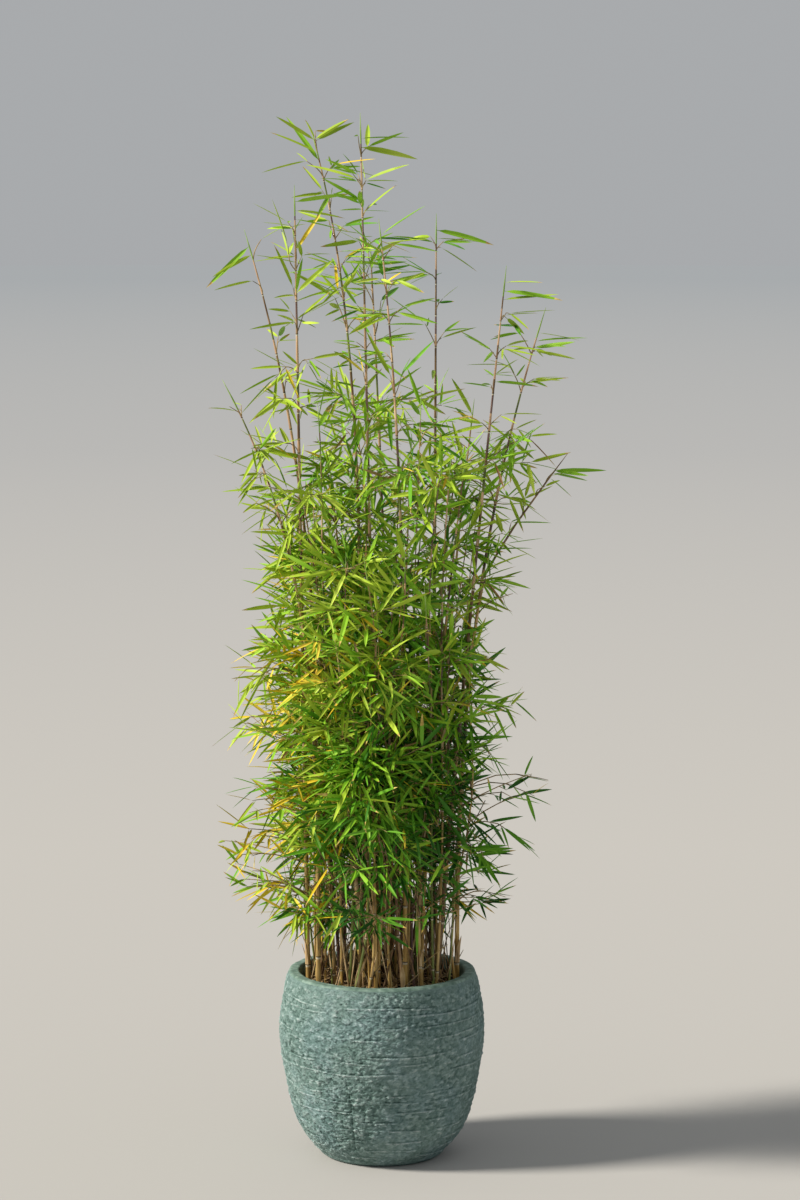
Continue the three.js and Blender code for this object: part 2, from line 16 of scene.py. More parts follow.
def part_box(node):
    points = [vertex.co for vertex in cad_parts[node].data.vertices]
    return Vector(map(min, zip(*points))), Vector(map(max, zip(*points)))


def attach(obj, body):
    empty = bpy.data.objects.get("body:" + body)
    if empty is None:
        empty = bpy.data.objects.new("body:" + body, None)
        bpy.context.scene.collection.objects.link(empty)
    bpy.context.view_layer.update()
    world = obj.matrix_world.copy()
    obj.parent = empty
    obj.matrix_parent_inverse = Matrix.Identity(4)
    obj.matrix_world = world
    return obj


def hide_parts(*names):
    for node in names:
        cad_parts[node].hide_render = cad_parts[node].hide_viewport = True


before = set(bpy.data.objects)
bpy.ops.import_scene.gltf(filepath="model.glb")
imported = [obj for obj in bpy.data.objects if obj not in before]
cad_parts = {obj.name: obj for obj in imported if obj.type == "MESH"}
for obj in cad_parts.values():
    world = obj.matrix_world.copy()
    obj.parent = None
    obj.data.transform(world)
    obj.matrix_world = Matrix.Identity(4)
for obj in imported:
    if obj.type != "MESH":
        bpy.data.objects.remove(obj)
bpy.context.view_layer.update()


# %% [markdown]
# The camera stands almost 7 m in front of the pot, at the height of the plant's top, and looks a
# little down. A long lens so far away keeps the tall culms upright, as they are in real life. A
# short lens close by would spread the crown and shrink the pot.

# %% Camera
CAMERA_PLACE = (0.0, -6.86, 1.92)
CAMERA_DOWN = 7.39  # degrees below level
CAMERA_LENS = 114.0  # mm
CAMERA_SENSOR = 36.0  # mm, its long side
CAMERA_SHIFT = 0.015  # the pot stands a little left of the middle


def add_object(name, data):
    thing = bpy.data.objects.new(name, data)
    bpy.context.scene.collection.objects.link(thing)
    return thing


camera_data = bpy.data.cameras.new("camera")
camera_data.lens = CAMERA_LENS
camera_data.sensor_width = CAMERA_SENSOR
camera_data.shift_x = CAMERA_SHIFT
camera = add_object("camera", camera_data)
camera.location = CAMERA_PLACE
camera.rotation_euler = (math.radians(90 - CAMERA_DOWN), 0, 0)
bpy.context.scene.camera = camera
print("camera looks", CAMERA_DOWN, "degrees down from", CAMERA_PLACE)

# %% [markdown]
# Every piece needs a finish. A finish is a node material: a shader, a pattern that breaks up its
# colour, and a bump that roughens it. The same few nodes serve stone, cane and leaf at different
# sizes, so they are built by small helpers. A number that is the same all over is set on the
# shader itself, and only what varies comes through a link.

# %% Helpers for finishes
def colour_from_hex(text):
    """A screen colour such as 7f9a3c as the linear red, green and blue that a shader takes."""
    values = [int(text[i : i + 2], 16) / 255 for i in (0, 2, 4)]
    linear = [v / 12.92 if v <= 0.04045 else ((v + 0.055) / 1.055) ** 2.4 for v in values]
    return (*linear, 1.0)


def new_finish(name, roughness, specular):
    material = bpy.data.materials.new(name)
    material.use_nodes = True
    shader = material.node_tree.nodes["Principled BSDF"]
    shader.inputs["Roughness"].default_value = roughness
    shader.inputs["Specular IOR Level"].default_value = specular
    return material


def add_node(material, kind, given=None, **settings):
    """A node whose inputs, by name or number, are given a value or another node's output."""
    tree = material.node_tree
    node = tree.nodes.new("ShaderNode" + kind)
    for name, setting in settings.items():
        setattr(node, name, setting)
    for name, value in (given or {}).items():
        if isinstance(value, bpy.types.NodeSocket):
            tree.links.new(value, node.inputs[name])
        else:
            node.inputs[name].default_value = value
    return node


def own_space(material, sizes):
    """The place on the piece, counted in steps of so many metres along x, y and z."""
    place = add_node(material, "TexCoord").outputs["Object"]
    given = {"Vector": place, "Scale": [1 / size for size in sizes]}
    return add_node(material, "Mapping", given).outputs["Vector"]


def add_noise(material, size, detail=3.0, stretch=(1, 1, 1)):
    """A noise pattern with features about as large as size in metres."""
    place = own_space(material, [size * share for share in stretch])
    given = {"Vector": place, "Scale": 1.0, "Detail": detail}
    return add_node(material, "TexNoise", given).outputs["Fac"]


def spread(tones, half=0.2):
    """Stops for a ramp: screen colours at even steps, from half below the middle to half above."""
    return list(zip(np.linspace(0.5 - half, 0.5 + half, len(tones)), tones))


def add_ramp(material, value, stops):
    """Turns a value into colours: stops are (position, screen colour)."""
    ramp = add_node(material, "ValToRGB", {"Fac": value})
    elements = ramp.color_ramp.elements
    while len(elements) < len(stops):
        elements.new(0.5)
    for element, (position, text) in zip(elements, stops):
        element.position = position
        element.color = colour_from_hex(text)
    return ramp.outputs["Color"]


def add_bump(material, height, depth, strength=1.0, under=None):
    given = {"Strength": strength, "Distance": depth, "Height": height}
    if under is not None:
        given["Normal"] = under
    return add_node(material, "Bump", given).outputs["Normal"]


def wear(material, colour, normal=None):
    """Puts the colour and the bump on the shader."""
    links = material.node_tree.links
    shader = material.node_tree.nodes["Principled BSDF"]
    links.new(colour, shader.inputs["Base Color"])
    if normal is not None:
        links.new(normal, shader.inputs["Normal"])
    return material


def grained_finish(name, roughness, specular, stops, grain, relief=None):
    """A finish whose colour follows one noise, and whose bump does if relief is given.
    The grain is the noise's size, detail and stretch, the relief its depth and strength."""
    finish = new_finish(name, roughness, specular)
    pattern = add_noise(finish, *grain)
    colour = add_ramp(finish, pattern, stops)
    return wear(finish, colour, add_bump(finish, pattern, *relief) if relief else None)


# %% [markdown]
# The floor is a plain pale disc, so wide that its edge is never seen from any side. A wall behind
# the plant would hide it in the views from the back. The light is an even pale sky and one broad
# sun from the upper left. A sun lights the far floor as much as the near one, which a lamp close
# by can't, and its width makes the shadows soft. Far out the floor's tone fades to the sky's, so
# that no line crosses the picture behind the crown. The standard view shows the greens as strong
# as the finishes give them.

# %% Floor and light
FLOOR_RADIUS = 40.0
FLOOR_SIDES = 96
FLOOR_FADE = (3.0, 36.0)  # metres out, from where to where the tone changes
FLOOR_TONES = [(0.0, "b7b5b2"), (0.35, "a5a6a8"), (1.0, "959aa0")]  # from near to far
SKY_STRENGTH = 0.46
SUN_FROM = (-4.8, -0.95, 3.4)
SUN_STRENGTH = 5.0
SUN_WIDTH = 12  # degrees


def full_turn(count):
    return np.linspace(0, 2 * math.pi, count, endpoint=False)


turn = full_turn(FLOOR_SIDES)
floor_ring = np.column_stack([np.cos(turn), np.sin(turn), np.zeros(FLOOR_SIDES)]) * FLOOR_RADIUS
floor_mesh = bpy.data.meshes.new("floor")
floor_mesh.from_pydata(floor_ring.tolist(), [], [list(range(FLOOR_SIDES))])
floor_finish = new_finish("pale floor", 1.0, 0.0)
floor_place = add_node(floor_finish, "TexCoord").outputs["Object"]
far_out = add_node(floor_finish, "VectorMath", {0: floor_place}, operation="LENGTH")
near, far = FLOOR_FADE
fading = {"Value": far_out.outputs["Value"], "From Min": near, "From Max": far, "To Max": 1.0}
floor_share = add_node(floor_finish, "MapRange", fading).outputs["Result"]
wear(floor_finish, add_ramp(floor_finish, floor_share, FLOOR_TONES))
floor_mesh.materials.append(floor_finish)
floor = add_object("floor", floor_mesh)

world = bpy.data.worlds.new("overcast sky")
world.use_nodes = True
sky = world.node_tree.nodes["Background"]
sky.inputs["Color"].default_value = colour_from_hex("eef1f4")
sky.inputs["Strength"].default_value = SKY_STRENGTH
bpy.context.scene.world = world
bpy.context.scene.view_settings.view_transform = "Standard"

sun_data = bpy.data.lights.new("broad sun", "SUN")
sun_data.energy = SUN_STRENGTH
sun_data.angle = math.radians(SUN_WIDTH)
sun_data.color = colour_from_hex("fff9ee")[:3]
sun = add_object("broad sun", sun_data)
sun.rotation_euler = Vector(SUN_FROM).to_track_quat("Z", "Y").to_euler()
print("floor radius", FLOOR_RADIUS, "m, a sky and a sun of", SUN_STRENGTH)

# %% [markdown]
# A plant of many thousand small parts can't be one object each. Each kind of part is worked out
# as arrays of points and faces, and joined into one mesh. Three helpers do most of it: one turns
# arrays into a piece that rides on the frame, one turns a profile into a round body, and one lays
# closed tubes along many lines at once.

# %% Helpers for meshes
def make_piece(name, points, faces, finishes, slot, nodes=(), bands=None):
    """A mesh from arrays that rides on the frame, stands for the named nodes and is printed."""
    mesh = bpy.data.meshes.new(name)
    mesh.from_pydata(np.asarray(points, dtype=float), [], np.asarray(faces))
    mesh.polygons.foreach_set("use_smooth", np.full(len(mesh.polygons), True))
    for finish in finishes:
        mesh.materials.append(finish)
    if bands is not None:
        mesh.polygons.foreach_set("material_index", np.asarray(bands, dtype=np.int32))
    mesh.update()
    piece = add_object(name, mesh)
    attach(piece, "root")
    if nodes:
        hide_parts(*nodes)
    triangles = sum(len(face.vertices) - 2 for face in mesh.polygons)
    print(f"{name}: {len(mesh.vertices)} points, {triangles} triangles")
    return piece


def quads(rows, columns, closed=True):
    """The faces of a grid of points. In a closed one the last column meets the first."""
    row = np.arange(rows - 1)[:, None] * columns
    here = np.arange(columns if closed else columns - 1)
    ahead = (here + 1) % columns
    corners = [row + here, row + ahead, row + columns + ahead, row + columns + here]
    return np.stack(corners, axis=-1).reshape(-1, 4)


def joined(parts):
    """Many bodies, each of points and faces, as one."""
    starts = np.cumsum([0] + [len(points) for points, _ in parts])
    faces = [faces + start for (_, faces), start in zip(parts, starts)]
    return np.vstack([points for points, _ in parts]), np.vstack(faces)


def turned_body(profile, columns):
    """Points and faces of a profile turned about the vertical axis. Rows run along the profile."""
    turn = full_turn(columns)
    radius, height = np.asarray(profile).T
    x = radius[:, None] * np.cos(turn)
    y = radius[:, None] * np.sin(turn)
    z = np.repeat(height[:, None], columns, axis=1)
    return np.stack([x, y, z], axis=-1).reshape(-1, 3), quads(len(radius), columns)


def tube_faces(rings, sides):
    """The faces of one closed tube with an even number of sides, its two ends among them."""
    last = (rings - 1) * sides
    near = [[0, i + 1, i, i - 1] for i in range(2, sides - 1, 2)]
    far = [[last, last + i - 1, last + i, last + i + 1] for i in range(2, sides - 1, 2)]
    return np.vstack([near, quads(rings, sides), far])


def lay_tubes(lines, radii, sides=4):
    """Closed tubes along many lines with the same number of points each."""
    lines, radii = np.asarray(lines, float), np.asarray(radii, float)
    count, rings = radii.shape
    along = np.gradient(lines, axis=1)
    along /= np.linalg.norm(along, axis=2, keepdims=True) + 1e-12
    upright = np.abs(along[:, :1, 2:3]) > 0.9
    reference = np.where(upright, np.array([1.0, 0, 0]), np.array([0, 0, 1.0]))
    side = np.cross(along, reference)
    side /= np.linalg.norm(side, axis=2, keepdims=True) + 1e-12
    normal = np.cross(side, along)
    turn = full_turn(sides)
    ring = side[:, :, None] * np.cos(turn)[:, None] + normal[:, :, None] * np.sin(turn)[:, None]
    points = lines[:, :, None] + ring * radii[:, :, None, None]
    faces = tube_faces(rings, sides)[None] + (np.arange(count) * rings * sides)[:, None, None]
    return points.reshape(-1, 3), faces.reshape(-1, 4)


# %% [markdown]
# The pot is cast to look like split stone: small sharp chips, and broken level lines where the
# layers part. A smooth wall with a bump map would show a clean outline, so the larger chips are
# real relief in the mesh, and only the finest grain is left to the bump. The wall follows the
# frame's own curve, which is a smooth line through six widths.

# %% The pot's outline
POT_HEIGHT = 0.345
RIM_WIDTH = 0.344
MOUTH_WIDTH = 0.303
FOOT_WIDTH = 0.224
FOOT_EDGE = 0.006
RIM_EDGE = 0.004
WALL_OUTLINE = [(0.045, 0.296), (0.101, 0.340), (0.225, 0.380), (0.316, 0.360)]  # height, width
WALL_COLUMNS = 500
WALL_ROWS = 195


def smooth_line(points, count):
    """A curve through points, the same one as the frame's, with its points evenly far apart."""
    points = np.asarray(points, float)
    padded = np.vstack([points[0], points, points[-1]])
    share = np.linspace(0, 1, 40, endpoint=False)[:, None]
    pieces = []
    for before, start, end, after in zip(padded, padded[1:], padded[2:], padded[3:]):
        leave, arrive = (end - before) / 2, (after - start) / 2
        cubic = (2 * start - 2 * end + leave + arrive) * share**3
        square = (-3 * start + 3 * end - 2 * leave - arrive) * share**2
        pieces.append(cubic + square + leave * share + start)
    fine = np.vstack([*pieces, points[-1]])
    length = np.concatenate([[0], np.cumsum(np.linalg.norm(np.diff(fine, axis=0), axis=1))])
    even = np.linspace(0, length[-1], count)
    return np.column_stack([np.interp(even, length, fine[:, axis]) for axis in range(2)])


foot_point, rim_point = (FOOT_EDGE, FOOT_WIDTH + FOOT_EDGE), (POT_HEIGHT - RIM_EDGE, RIM_WIDTH)
wall_points = [foot_point, *WALL_OUTLINE, rim_point]
wall_line = smooth_line([(width / 2, height) for height, width in wall_points], WALL_ROWS)
print("widest at", round(wall_line[wall_line[:, 0].argmax(), 1], 3), "m high")

# %% [markdown]
# Each chip is a cell of a cracked pattern, with its own height and its own tilt, and a small
# gully between it and the next. The layers are level lines, drawn every few centimetres, that
# come and go round the pot: a thin gully with a raised lip under it. One upright crack runs up
# from the foot in front.

# %% The pot's relief
CHIP = 0.0080  # how wide a chip is
CHIP_FLATNESS = 0.72  # its height beside its width
CHIP_STEP = 0.0011
CHIP_TILT = 0.0015
GULLY = 0.0006
GULLY_SHARE = 0.28  # of a chip, on each side of the gully
SMALL_CHIP, SMALL_HEIGHT, SMALL_GULLY = 0.5, 0.22, 0.4  # beside a large chip's
LAYER = 0.018  # between level lines
LAYER_DEPTH = 0.0021
LAYER_HALF = 0.0012
LAYER_WANDER = 0.006
LAYERS_FROM, LAYERS_TO = 0.020, POT_HEIGHT - 0.012
SWELL = 0.0010
CRACK_TURN = math.radians(-109)  # seen from above, from +X
CRACK_HEIGHTS = (0.035, 0.150)
CRACK_HALF = CRACK_DEPTH = 0.0014
CRACK_RADIUS = 0.18  # of the wall at the crack

noise.seed_set(11)  # noise vectors, the chips' tilts, would else follow the clock
layer_draw = random.Random(11)
layer_heights = []
level = LAYERS_FROM
while level < LAYERS_TO:
    layer_heights.append(level)
    level += LAYER * layer_draw.uniform(0.7, 1.35)


def chips(x, y, z, size):
    """Chip height, tilt and gully at a point, each about -1 to 1."""
    spot = Vector((x / size, y / size, z / (size * CHIP_FLATNESS)))
    distances, corners = noise.voronoi(spot)
    step = noise.cell(corners[0] * 31.7) * 2 - 1
    tilt = (spot - corners[0]).dot(noise.noise_vector(corners[0] * 5.3)) * 2
    edge = min((distances[1] - distances[0]) / GULLY_SHARE, 1.0)
    return step, tilt, edge - 1


def noise_round(turn, waves, number):
    """A noise that runs once round the pot, another one for each number."""
    return noise.noise(Vector((math.cos(turn) * waves, math.sin(turn) * waves, number)))


def layers(turn, z):
    """The level lines: -0.7 in a gully, up to 0.9 on the lip under it."""
    depth = 0.0
    for number, height in enumerate(layer_heights):
        wander = noise_round(turn, 1.6, number * 5.1) * LAYER_WANDER
        away = (z - height - wander) / LAYER_HALF
        if -3 < away < 2:
            shown = min(max(noise_round(turn, 2.3, number * 9.7 + 40) * 5 + 0.35, 0), 1)
            depth -= shown * 0.7 * math.exp(-away * away)
            depth += shown * 0.9 * math.exp(-((away + 1.6) ** 2))
    return depth


def wall_relief(x, y, z):
    """How far chips and lines stand out of the wall in metres, and the slow swell under them."""
    turn = math.atan2(y, x)
    step, tilt, gully = chips(x, y, z, CHIP)
    small_step, small_tilt, small_gully = chips(x + 3, y, z, CHIP * SMALL_CHIP)
    swell = noise.noise(Vector((x, y, z * 1.6)) * 14) * SWELL
    relief = step * CHIP_STEP / 2 + tilt * CHIP_TILT / 2 + gully * GULLY
    small = (small_step * CHIP_STEP + small_tilt * CHIP_TILT) * SMALL_HEIGHT
    relief += small + small_gully * GULLY * SMALL_GULLY
    relief = relief * (0.8 + 0.5 * noise.noise(Vector((x, y, z)) * 9 + Vector((7, 0, 0))))
    relief += layers(turn, z) * LAYER_DEPTH
    bend = noise.noise(Vector((z * 30, 3, 1))) * 0.02
    away = (turn - CRACK_TURN - bend) * CRACK_RADIUS / CRACK_HALF
    if abs(away) < 3 and CRACK_HEIGHTS[0] < z < CRACK_HEIGHTS[1]:
        relief -= CRACK_DEPTH * math.exp(-away * away)
    return relief, swell


print(len(layer_heights), "level lines, the highest at", round(layer_heights[-1], 3), "m")

# %% The pot's wall
FADE_AT_FOOT, FADE_AT_RIM = 0.012, 0.03  # shares of the wall over which the relief dies out
RELIEF_SINK = 0.0006  # so that the chips stand no further out than they are cut in
HUB = 0.0008  # radius of the innermost ring of a disc

wall_xyz = turned_body(wall_line, WALL_COLUMNS)[0]
chip_relief, swell = np.array([wall_relief(*point) for point in wall_xyz.tolist()]).T
row_share = np.repeat(np.linspace(0, 1, WALL_ROWS), WALL_COLUMNS)
fade = np.clip(row_share / FADE_AT_FOOT, 0, 1) * np.clip((1 - row_share) / FADE_AT_RIM, 0, 1)
relief = (chip_relief + swell - RELIEF_SINK) * fade
outward = wall_xyz[:, :2] / np.linalg.norm(wall_xyz[:, :2], axis=1, keepdims=True)
tangent = np.gradient(wall_line, axis=0)
tangent /= np.linalg.norm(tangent, axis=1, keepdims=True)
slope = np.repeat(tangent, WALL_COLUMNS, axis=0)
wall_xyz[:, :2] += outward * (relief * slope[:, 1])[:, None]
wall_xyz[:, 2] -= relief * slope[:, 0]
under_line = [(HUB, 0.0), (FOOT_WIDTH / 4, 0.0), (FOOT_WIDTH / 2 - FOOT_EDGE, 0.0)]
under_xyz = turned_body(under_line, WALL_COLUMNS)[0]
pot_xyz = np.vstack([under_xyz, wall_xyz])
pot_faces = quads(len(under_line) + WALL_ROWS, WALL_COLUMNS)
print("relief from", round(relief.min() * 1000, 1), "to", round(relief.max() * 1000, 1), "mm")

# %% [markdown]
# Stone of this kind is grey green. Its colour carries painted shade, darker in the gullies, and a
# painted highlight, paler on the raised edges of the chips. The relief is stored on the mesh as a
# value for each point, and the finish reads it back, so that the painted shade and highlight fall
# just where the chips are, from any side.

# %% The pot's finish
# The relief share paints shade into the gullies and a highlight onto the raised chips; the grain
# share is the stone's own speckle.
RELIEF_SHARE, GRAIN_SHARE = 0.66, 0.34  # of the stone's tone
TONE_RANGE, TONE_MIDDLE = 0.0042, 0.55  # metres of relief from dark to pale, and the mean tone
# The ramp's dark end is painted shade in the gullies and its pale end a painted highlight on the
# crests; between them is the stone's own grey green.
STONE_TONES = [
    (0.20, "465c57"), (0.38, "68827c"), (0.54, "819995"), (0.70, "a0b4b1"), (0.88, "dbe5e5"),
]


def add_facets(material, size, flatness):
    """The height of small flat chips at random tilts, from each cell's centre and its colour."""
    place = own_space(material, (size, size, size * flatness))
    cells = add_node(material, "TexVoronoi", {"Vector": place, "Scale": 1.0}).outputs
    less = {"operation": "SUBTRACT"}
    away = add_node(material, "VectorMath", {0: place, 1: cells["Position"]}, **less).outputs
    tilt = add_node(material, "VectorMath", {0: cells["Color"], 1: (0.5, 0.5, 0.5)}, **less).outputs
    both = {0: away["Vector"], 1: tilt["Vector"]}
    return add_node(material, "VectorMath", both, operation="DOT_PRODUCT").outputs["Value"]


pot_stone = new_finish("split stone", 0.85, 0.3)
stone_grain = add_noise(pot_stone, 0.0045, 5.0, (1, 1, 0.7))
stone_patch = add_noise(pot_stone, 0.07, 3.0)
# The relief read back from the mesh: painted shade where the wall is cut in, painted highlight
# where it stands out.
relief_shade_and_highlight = add_node(pot_stone, "Attribute", attribute_name="relief").outputs["Fac"]
grain_part = add_node(pot_stone, "Math", {0: stone_grain, 1: GRAIN_SHARE}, operation="MULTIPLY")
parts = {0: relief_shade_and_highlight, 1: RELIEF_SHARE, 2: grain_part.outputs[0]}
shading_and_grain = add_node(pot_stone, "Math", parts, operation="MULTIPLY_ADD").outputs[0]
layers_of_colour = {
    "Factor": 0.55,
    "A": add_ramp(pot_stone, shading_and_grain, STONE_TONES),
    "B": add_ramp(pot_stone, stone_patch, spread(["b6c4bd", "c8d1ce", "bccbd2"], 0.15)),
}
tinted = add_node(pot_stone, "Mix", layers_of_colour, data_type="RGBA", blend_type="MULTIPLY")
facet_bump = add_bump(pot_stone, add_facets(pot_stone, 0.0046, 0.55), 0.0032, 0.9)
stone_bump = add_bump(pot_stone, stone_grain, 0.0010, 0.8, facet_bump)
wear(pot_stone, tinted.outputs["Result"], stone_bump)

pot_wall = make_piece("pot_wall", pot_xyz, pot_faces, [pot_stone], "stone", ["pot"])
# The stored value: below the middle tone in the gullies, painted shade, and above it on the chips'
# crests, painted highlight.
tone = np.concatenate([np.zeros(len(under_xyz)), (chip_relief - chip_relief.mean()) * fade])
tone = tone / TONE_RANGE + TONE_MIDDLE
shade_and_highlight_data = pot_wall.data.attributes.new("relief", "FLOAT", "POINT")
shade_and_highlight_data.data.foreach_set("value", np.clip(tone, 0, 1).astype(np.float32))
print("tone of the stone:", round(float(tone.mean()), 2), "on average")

# %% [markdown]
# The rim is trowelled flat and greener than the wall, and its inside runs down behind the soil.
# It is its own piece, because its finish is smoother and it needs far fewer faces.

# %% The pot's rim
RIM_COLUMNS = 440
RIM_UNEVENNESS = 0.0012
ACROSS, DOWN = 0.0021, 0.006  # between the rings of the flat top and of the inside
outer, inner = RIM_WIDTH / 2, MOUTH_WIDTH / 2
rim_line = [
    (outer, POT_HEIGHT - RIM_EDGE),
    (outer - RIM_EDGE * 0.3, POT_HEIGHT - RIM_EDGE * 0.3),
    (outer - RIM_EDGE, POT_HEIGHT),
    *[(outer - RIM_EDGE - step * ACROSS, POT_HEIGHT) for step in range(1, 6)],
    (inner + RIM_EDGE, POT_HEIGHT),
    (inner + RIM_EDGE * 0.3, POT_HEIGHT - RIM_EDGE * 0.3),
    (inner, POT_HEIGHT - RIM_EDGE),
    *[(inner, POT_HEIGHT - RIM_EDGE - step * DOWN) for step in range(1, 8)],
]
rim_xyz, rim_faces = turned_body(rim_line, RIM_COLUMNS)
rim_noise = np.array([noise.fractal(Vector(p) * 60, 1.0, 2.0, 3) for p in rim_xyz.tolist()])
rim_rows = np.repeat(np.arange(len(rim_line)), RIM_COLUMNS)
rim_xyz[:, 2] -= np.where(rim_rows > 0, np.clip(rim_noise, 0, 1) * RIM_UNEVENNESS, 0)
rim_tones = spread(["566f65", "6d867b", "8ca398"])
rim_stone = grained_finish("trowelled stone", 0.72, 0.3, rim_tones, (0.012, 5.0), (0.0008, 0.6))
make_piece("pot_rim", rim_xyz, rim_faces, [rim_stone], "stone", ["pot"])

# %% [markdown]
# The soil is dark and crumbly, a little higher in the middle. It is a disc of small rings, each
# point lifted by noise at two sizes, one for the heaps and one for the crumbs.

# %% Soil
SOIL_HEIGHT = 0.320
SOIL_DEPTH = 0.03
SOIL_RINGS, SOIL_COLUMNS = 70, 220
HEAP, CRUMB, DOME = 0.004, 0.0035, 0.004  # how high each stands
soil_radius = inner - 0.0006
soil_line = [(HUB, SOIL_HEIGHT - SOIL_DEPTH), (soil_radius, SOIL_HEIGHT - SOIL_DEPTH)]
for step in range(SOIL_RINGS + 1):
    soil_line.append((soil_radius * (1 - step / SOIL_RINGS) + HUB, SOIL_HEIGHT))
soil_xyz, soil_faces = turned_body(soil_line, SOIL_COLUMNS)


def soil_rise(x, y):
    heap = noise.noise(Vector((x, y, 0.3)) * 28) * HEAP
    crumb = noise.fractal(Vector((x, y, 1.7)) * 160, 0.9, 2.1, 3) * CRUMB
    return heap + crumb + DOME * (1 - math.hypot(x, y) / inner)


soil_top = np.repeat(np.arange(len(soil_line)) >= 2, SOIL_COLUMNS)
soil_xyz[:, 2] += np.where(soil_top, [soil_rise(x, y) for x, y, _ in soil_xyz.tolist()], 0)
soil_tones = [(0.3, "120c07"), (0.5, "251a10"), (0.68, "42301f"), (0.8, "665035")]
compost = grained_finish("dark compost", 0.95, 0.15, soil_tones, (0.004, 6.0), (0.002,))
make_piece("compost", soil_xyz, soil_faces, [compost], "earth", ["soil"])

# %% [markdown]
# A bamboo grows as shoots. Each shoot is a culm that goes straight up, leans out late and ends in
# a rolled leaf. The tall ones are listed one by one, as they make the outline. The short ones fill
# the seats of a sunflower's pattern between them, by the same seeded numbers as in the frame, so
# that both models have the same plant. The culms' tops and middles are then compared with the
# frame's.

# %% The shoots of the frame
CULM_WIDTH = 0.0090
CULM_TIP_WIDTH = 0.0047
FLARE = 1.22
FLARE_HEIGHT = 0.028
TALL_SHOOTS = [  # foot, tip, how late it bends, leafy length
    ((-0.112, 0.018), (-0.250, 0.060, 1.700), 3.1, 0.36),
    ((-0.135, -0.032), (-0.156, -0.062, 1.783), 1.0, 0.33),
    ((-0.038, 0.034), (-0.128, 0.014, 1.884), 4.8, 0.47),
    ((-0.006, -0.038), (-0.039, -0.022, 1.910), 1.1, 0.52),
    ((0.018, 0.062), (-0.022, 0.130, 1.680), 1.8, 0.40),
    ((0.042, -0.092), (-0.006, -0.084, 1.724), 3.5, 0.42),
    ((0.094, 0.052), (0.099, 0.096, 1.728), 1.0, 0.36),
    ((0.100, -0.042), (0.222, -0.062, 1.640), 1.1, 0.36),
    ((0.138, 0.008), (0.297, 0.036, 1.560), 2.5, 0.33),
    ((-0.116, -0.072), (-0.284, -0.112, 1.440), 3.6, 0.33),
]
TOP_LEAVES = [  # how leafy each tall shoot is, where its top leaves point, and how each rises
    (0.22, 180, (-0.75, -0.45)),
    (0.80, 0, (0.15, -0.10, -0.20)),
    (0.90, 165, (0.75, 0.45, 0.90)),
    (1.00, 5, (0.55, 0.05, -0.15)),
    (0.80, 40, (0.40, 0.10)),
    (0.90, -20, (0.60, 0.15)),
    (0.55, 0, (-0.20, -0.05)),
    (0.95, -10, (0.05, -0.10, 0.10)),
    (0.90, 5, (0.00, -0.15, 0.10)),
    (0.90, 190, (0.65, -0.15, 0.30)),
]
SHORT_SHOOTS = 14
CLUMP_RADIUS = 0.132
SEATS = 26
SEAT_SPACING = 0.027
CULMS_APART = 0.016
SHORT_HEIGHTS = (0.94, 1.34, 1.12)
HEIGHT_SPREAD = 0.06
SHORT_LEAFY = 0.36
SHORT_BEND = 1.6
SHORT_WIDTH = 0.0072
SHORT_LEAN = 1.5
SHORT_LEAN_OUT = 0.05
FIRST_ANGLE, GOLDEN_ANGLE = 0.6, 2.4  # radians


def frame_numbers(seed):
    """The same run of seeded numbers as the frame's source."""
    state = seed
    while True:
        state = (state + 0x6D2B79F5) & 0xFFFFFFFF
        mixed = ((state ^ (state >> 15)) * (1 | state)) & 0xFFFFFFFF
        mixed = ((mixed + (mixed ^ (mixed >> 7)) * (61 | mixed)) & 0xFFFFFFFF) ^ mixed
        yield (mixed ^ (mixed >> 14)) / 2**32


def around(radius, angle):
    """The x and y of a place at a distance from the middle."""
    return radius * math.cos(angle), radius * math.sin(angle)


def make_shoot(foot, tip, bend, leafy, width):
    """A shoot as its foot, its tip and how it grows. It sways by x, y and a number of waves."""
    shoot = {"foot": np.array(foot), "tip": np.array(tip), "bend": bend, "leafy": leafy}
    return dict(shoot, width=width, sway=(0.0, 0.0, 1.0))


def shoot_points(shoot, heights):
    """The middle of a shoot at some heights."""
    heights = np.atleast_1d(np.asarray(heights, float))
    rise = np.clip((heights - SOIL_HEIGHT) / (shoot["tip"][2] - SOIL_HEIGHT), 0, None)
    lean = rise ** shoot["bend"]
    across = shoot["foot"] + (shoot["tip"][:2] - shoot["foot"]) * lean[:, None]
    sway_x, sway_y, waves = shoot["sway"]
    across = across + np.sin(rise * waves * math.pi)[:, None] * (sway_x, sway_y)
    return np.column_stack([across, heights])


def culm_top(shoot):
    return shoot["tip"][2] - shoot["leafy"]


def stand_apart(one, other):
    if np.hypot(*(one["foot"] - other["foot"])) < SEAT_SPACING:
        return False
    heights = np.arange(SOIL_HEIGHT, min(culm_top(one), culm_top(other)), FLARE_HEIGHT)
    gaps = np.linalg.norm(shoot_points(one, heights) - shoot_points(other, heights), axis=1)
    return gaps.min() >= CULMS_APART


shoots = [make_shoot(*row, CULM_WIDTH) for row in TALL_SHOOTS]
numbers = frame_numbers(7)
for seat in range(SEATS * 3):
    if len(shoots) == len(TALL_SHOOTS) + SHORT_SHOOTS:
        break
    angle = seat * GOLDEN_ANGLE + FIRST_ANGLE
    radius = CLUMP_RADIUS * math.sqrt(((seat % SEATS) + 0.5) / SEATS)
    height = SHORT_HEIGHTS[(len(shoots) - len(TALL_SHOOTS)) % len(SHORT_HEIGHTS)]
    height += (next(numbers) * 2 - 1) * HEIGHT_SPREAD
    tip = (*around(radius * SHORT_LEAN + SHORT_LEAN_OUT, angle), height)
    shoot = make_shoot(around(radius, angle), tip, SHORT_BEND, SHORT_LEAFY, SHORT_WIDTH)
    if all(stand_apart(shoot, other) for other in shoots):
        shoots.append(shoot)

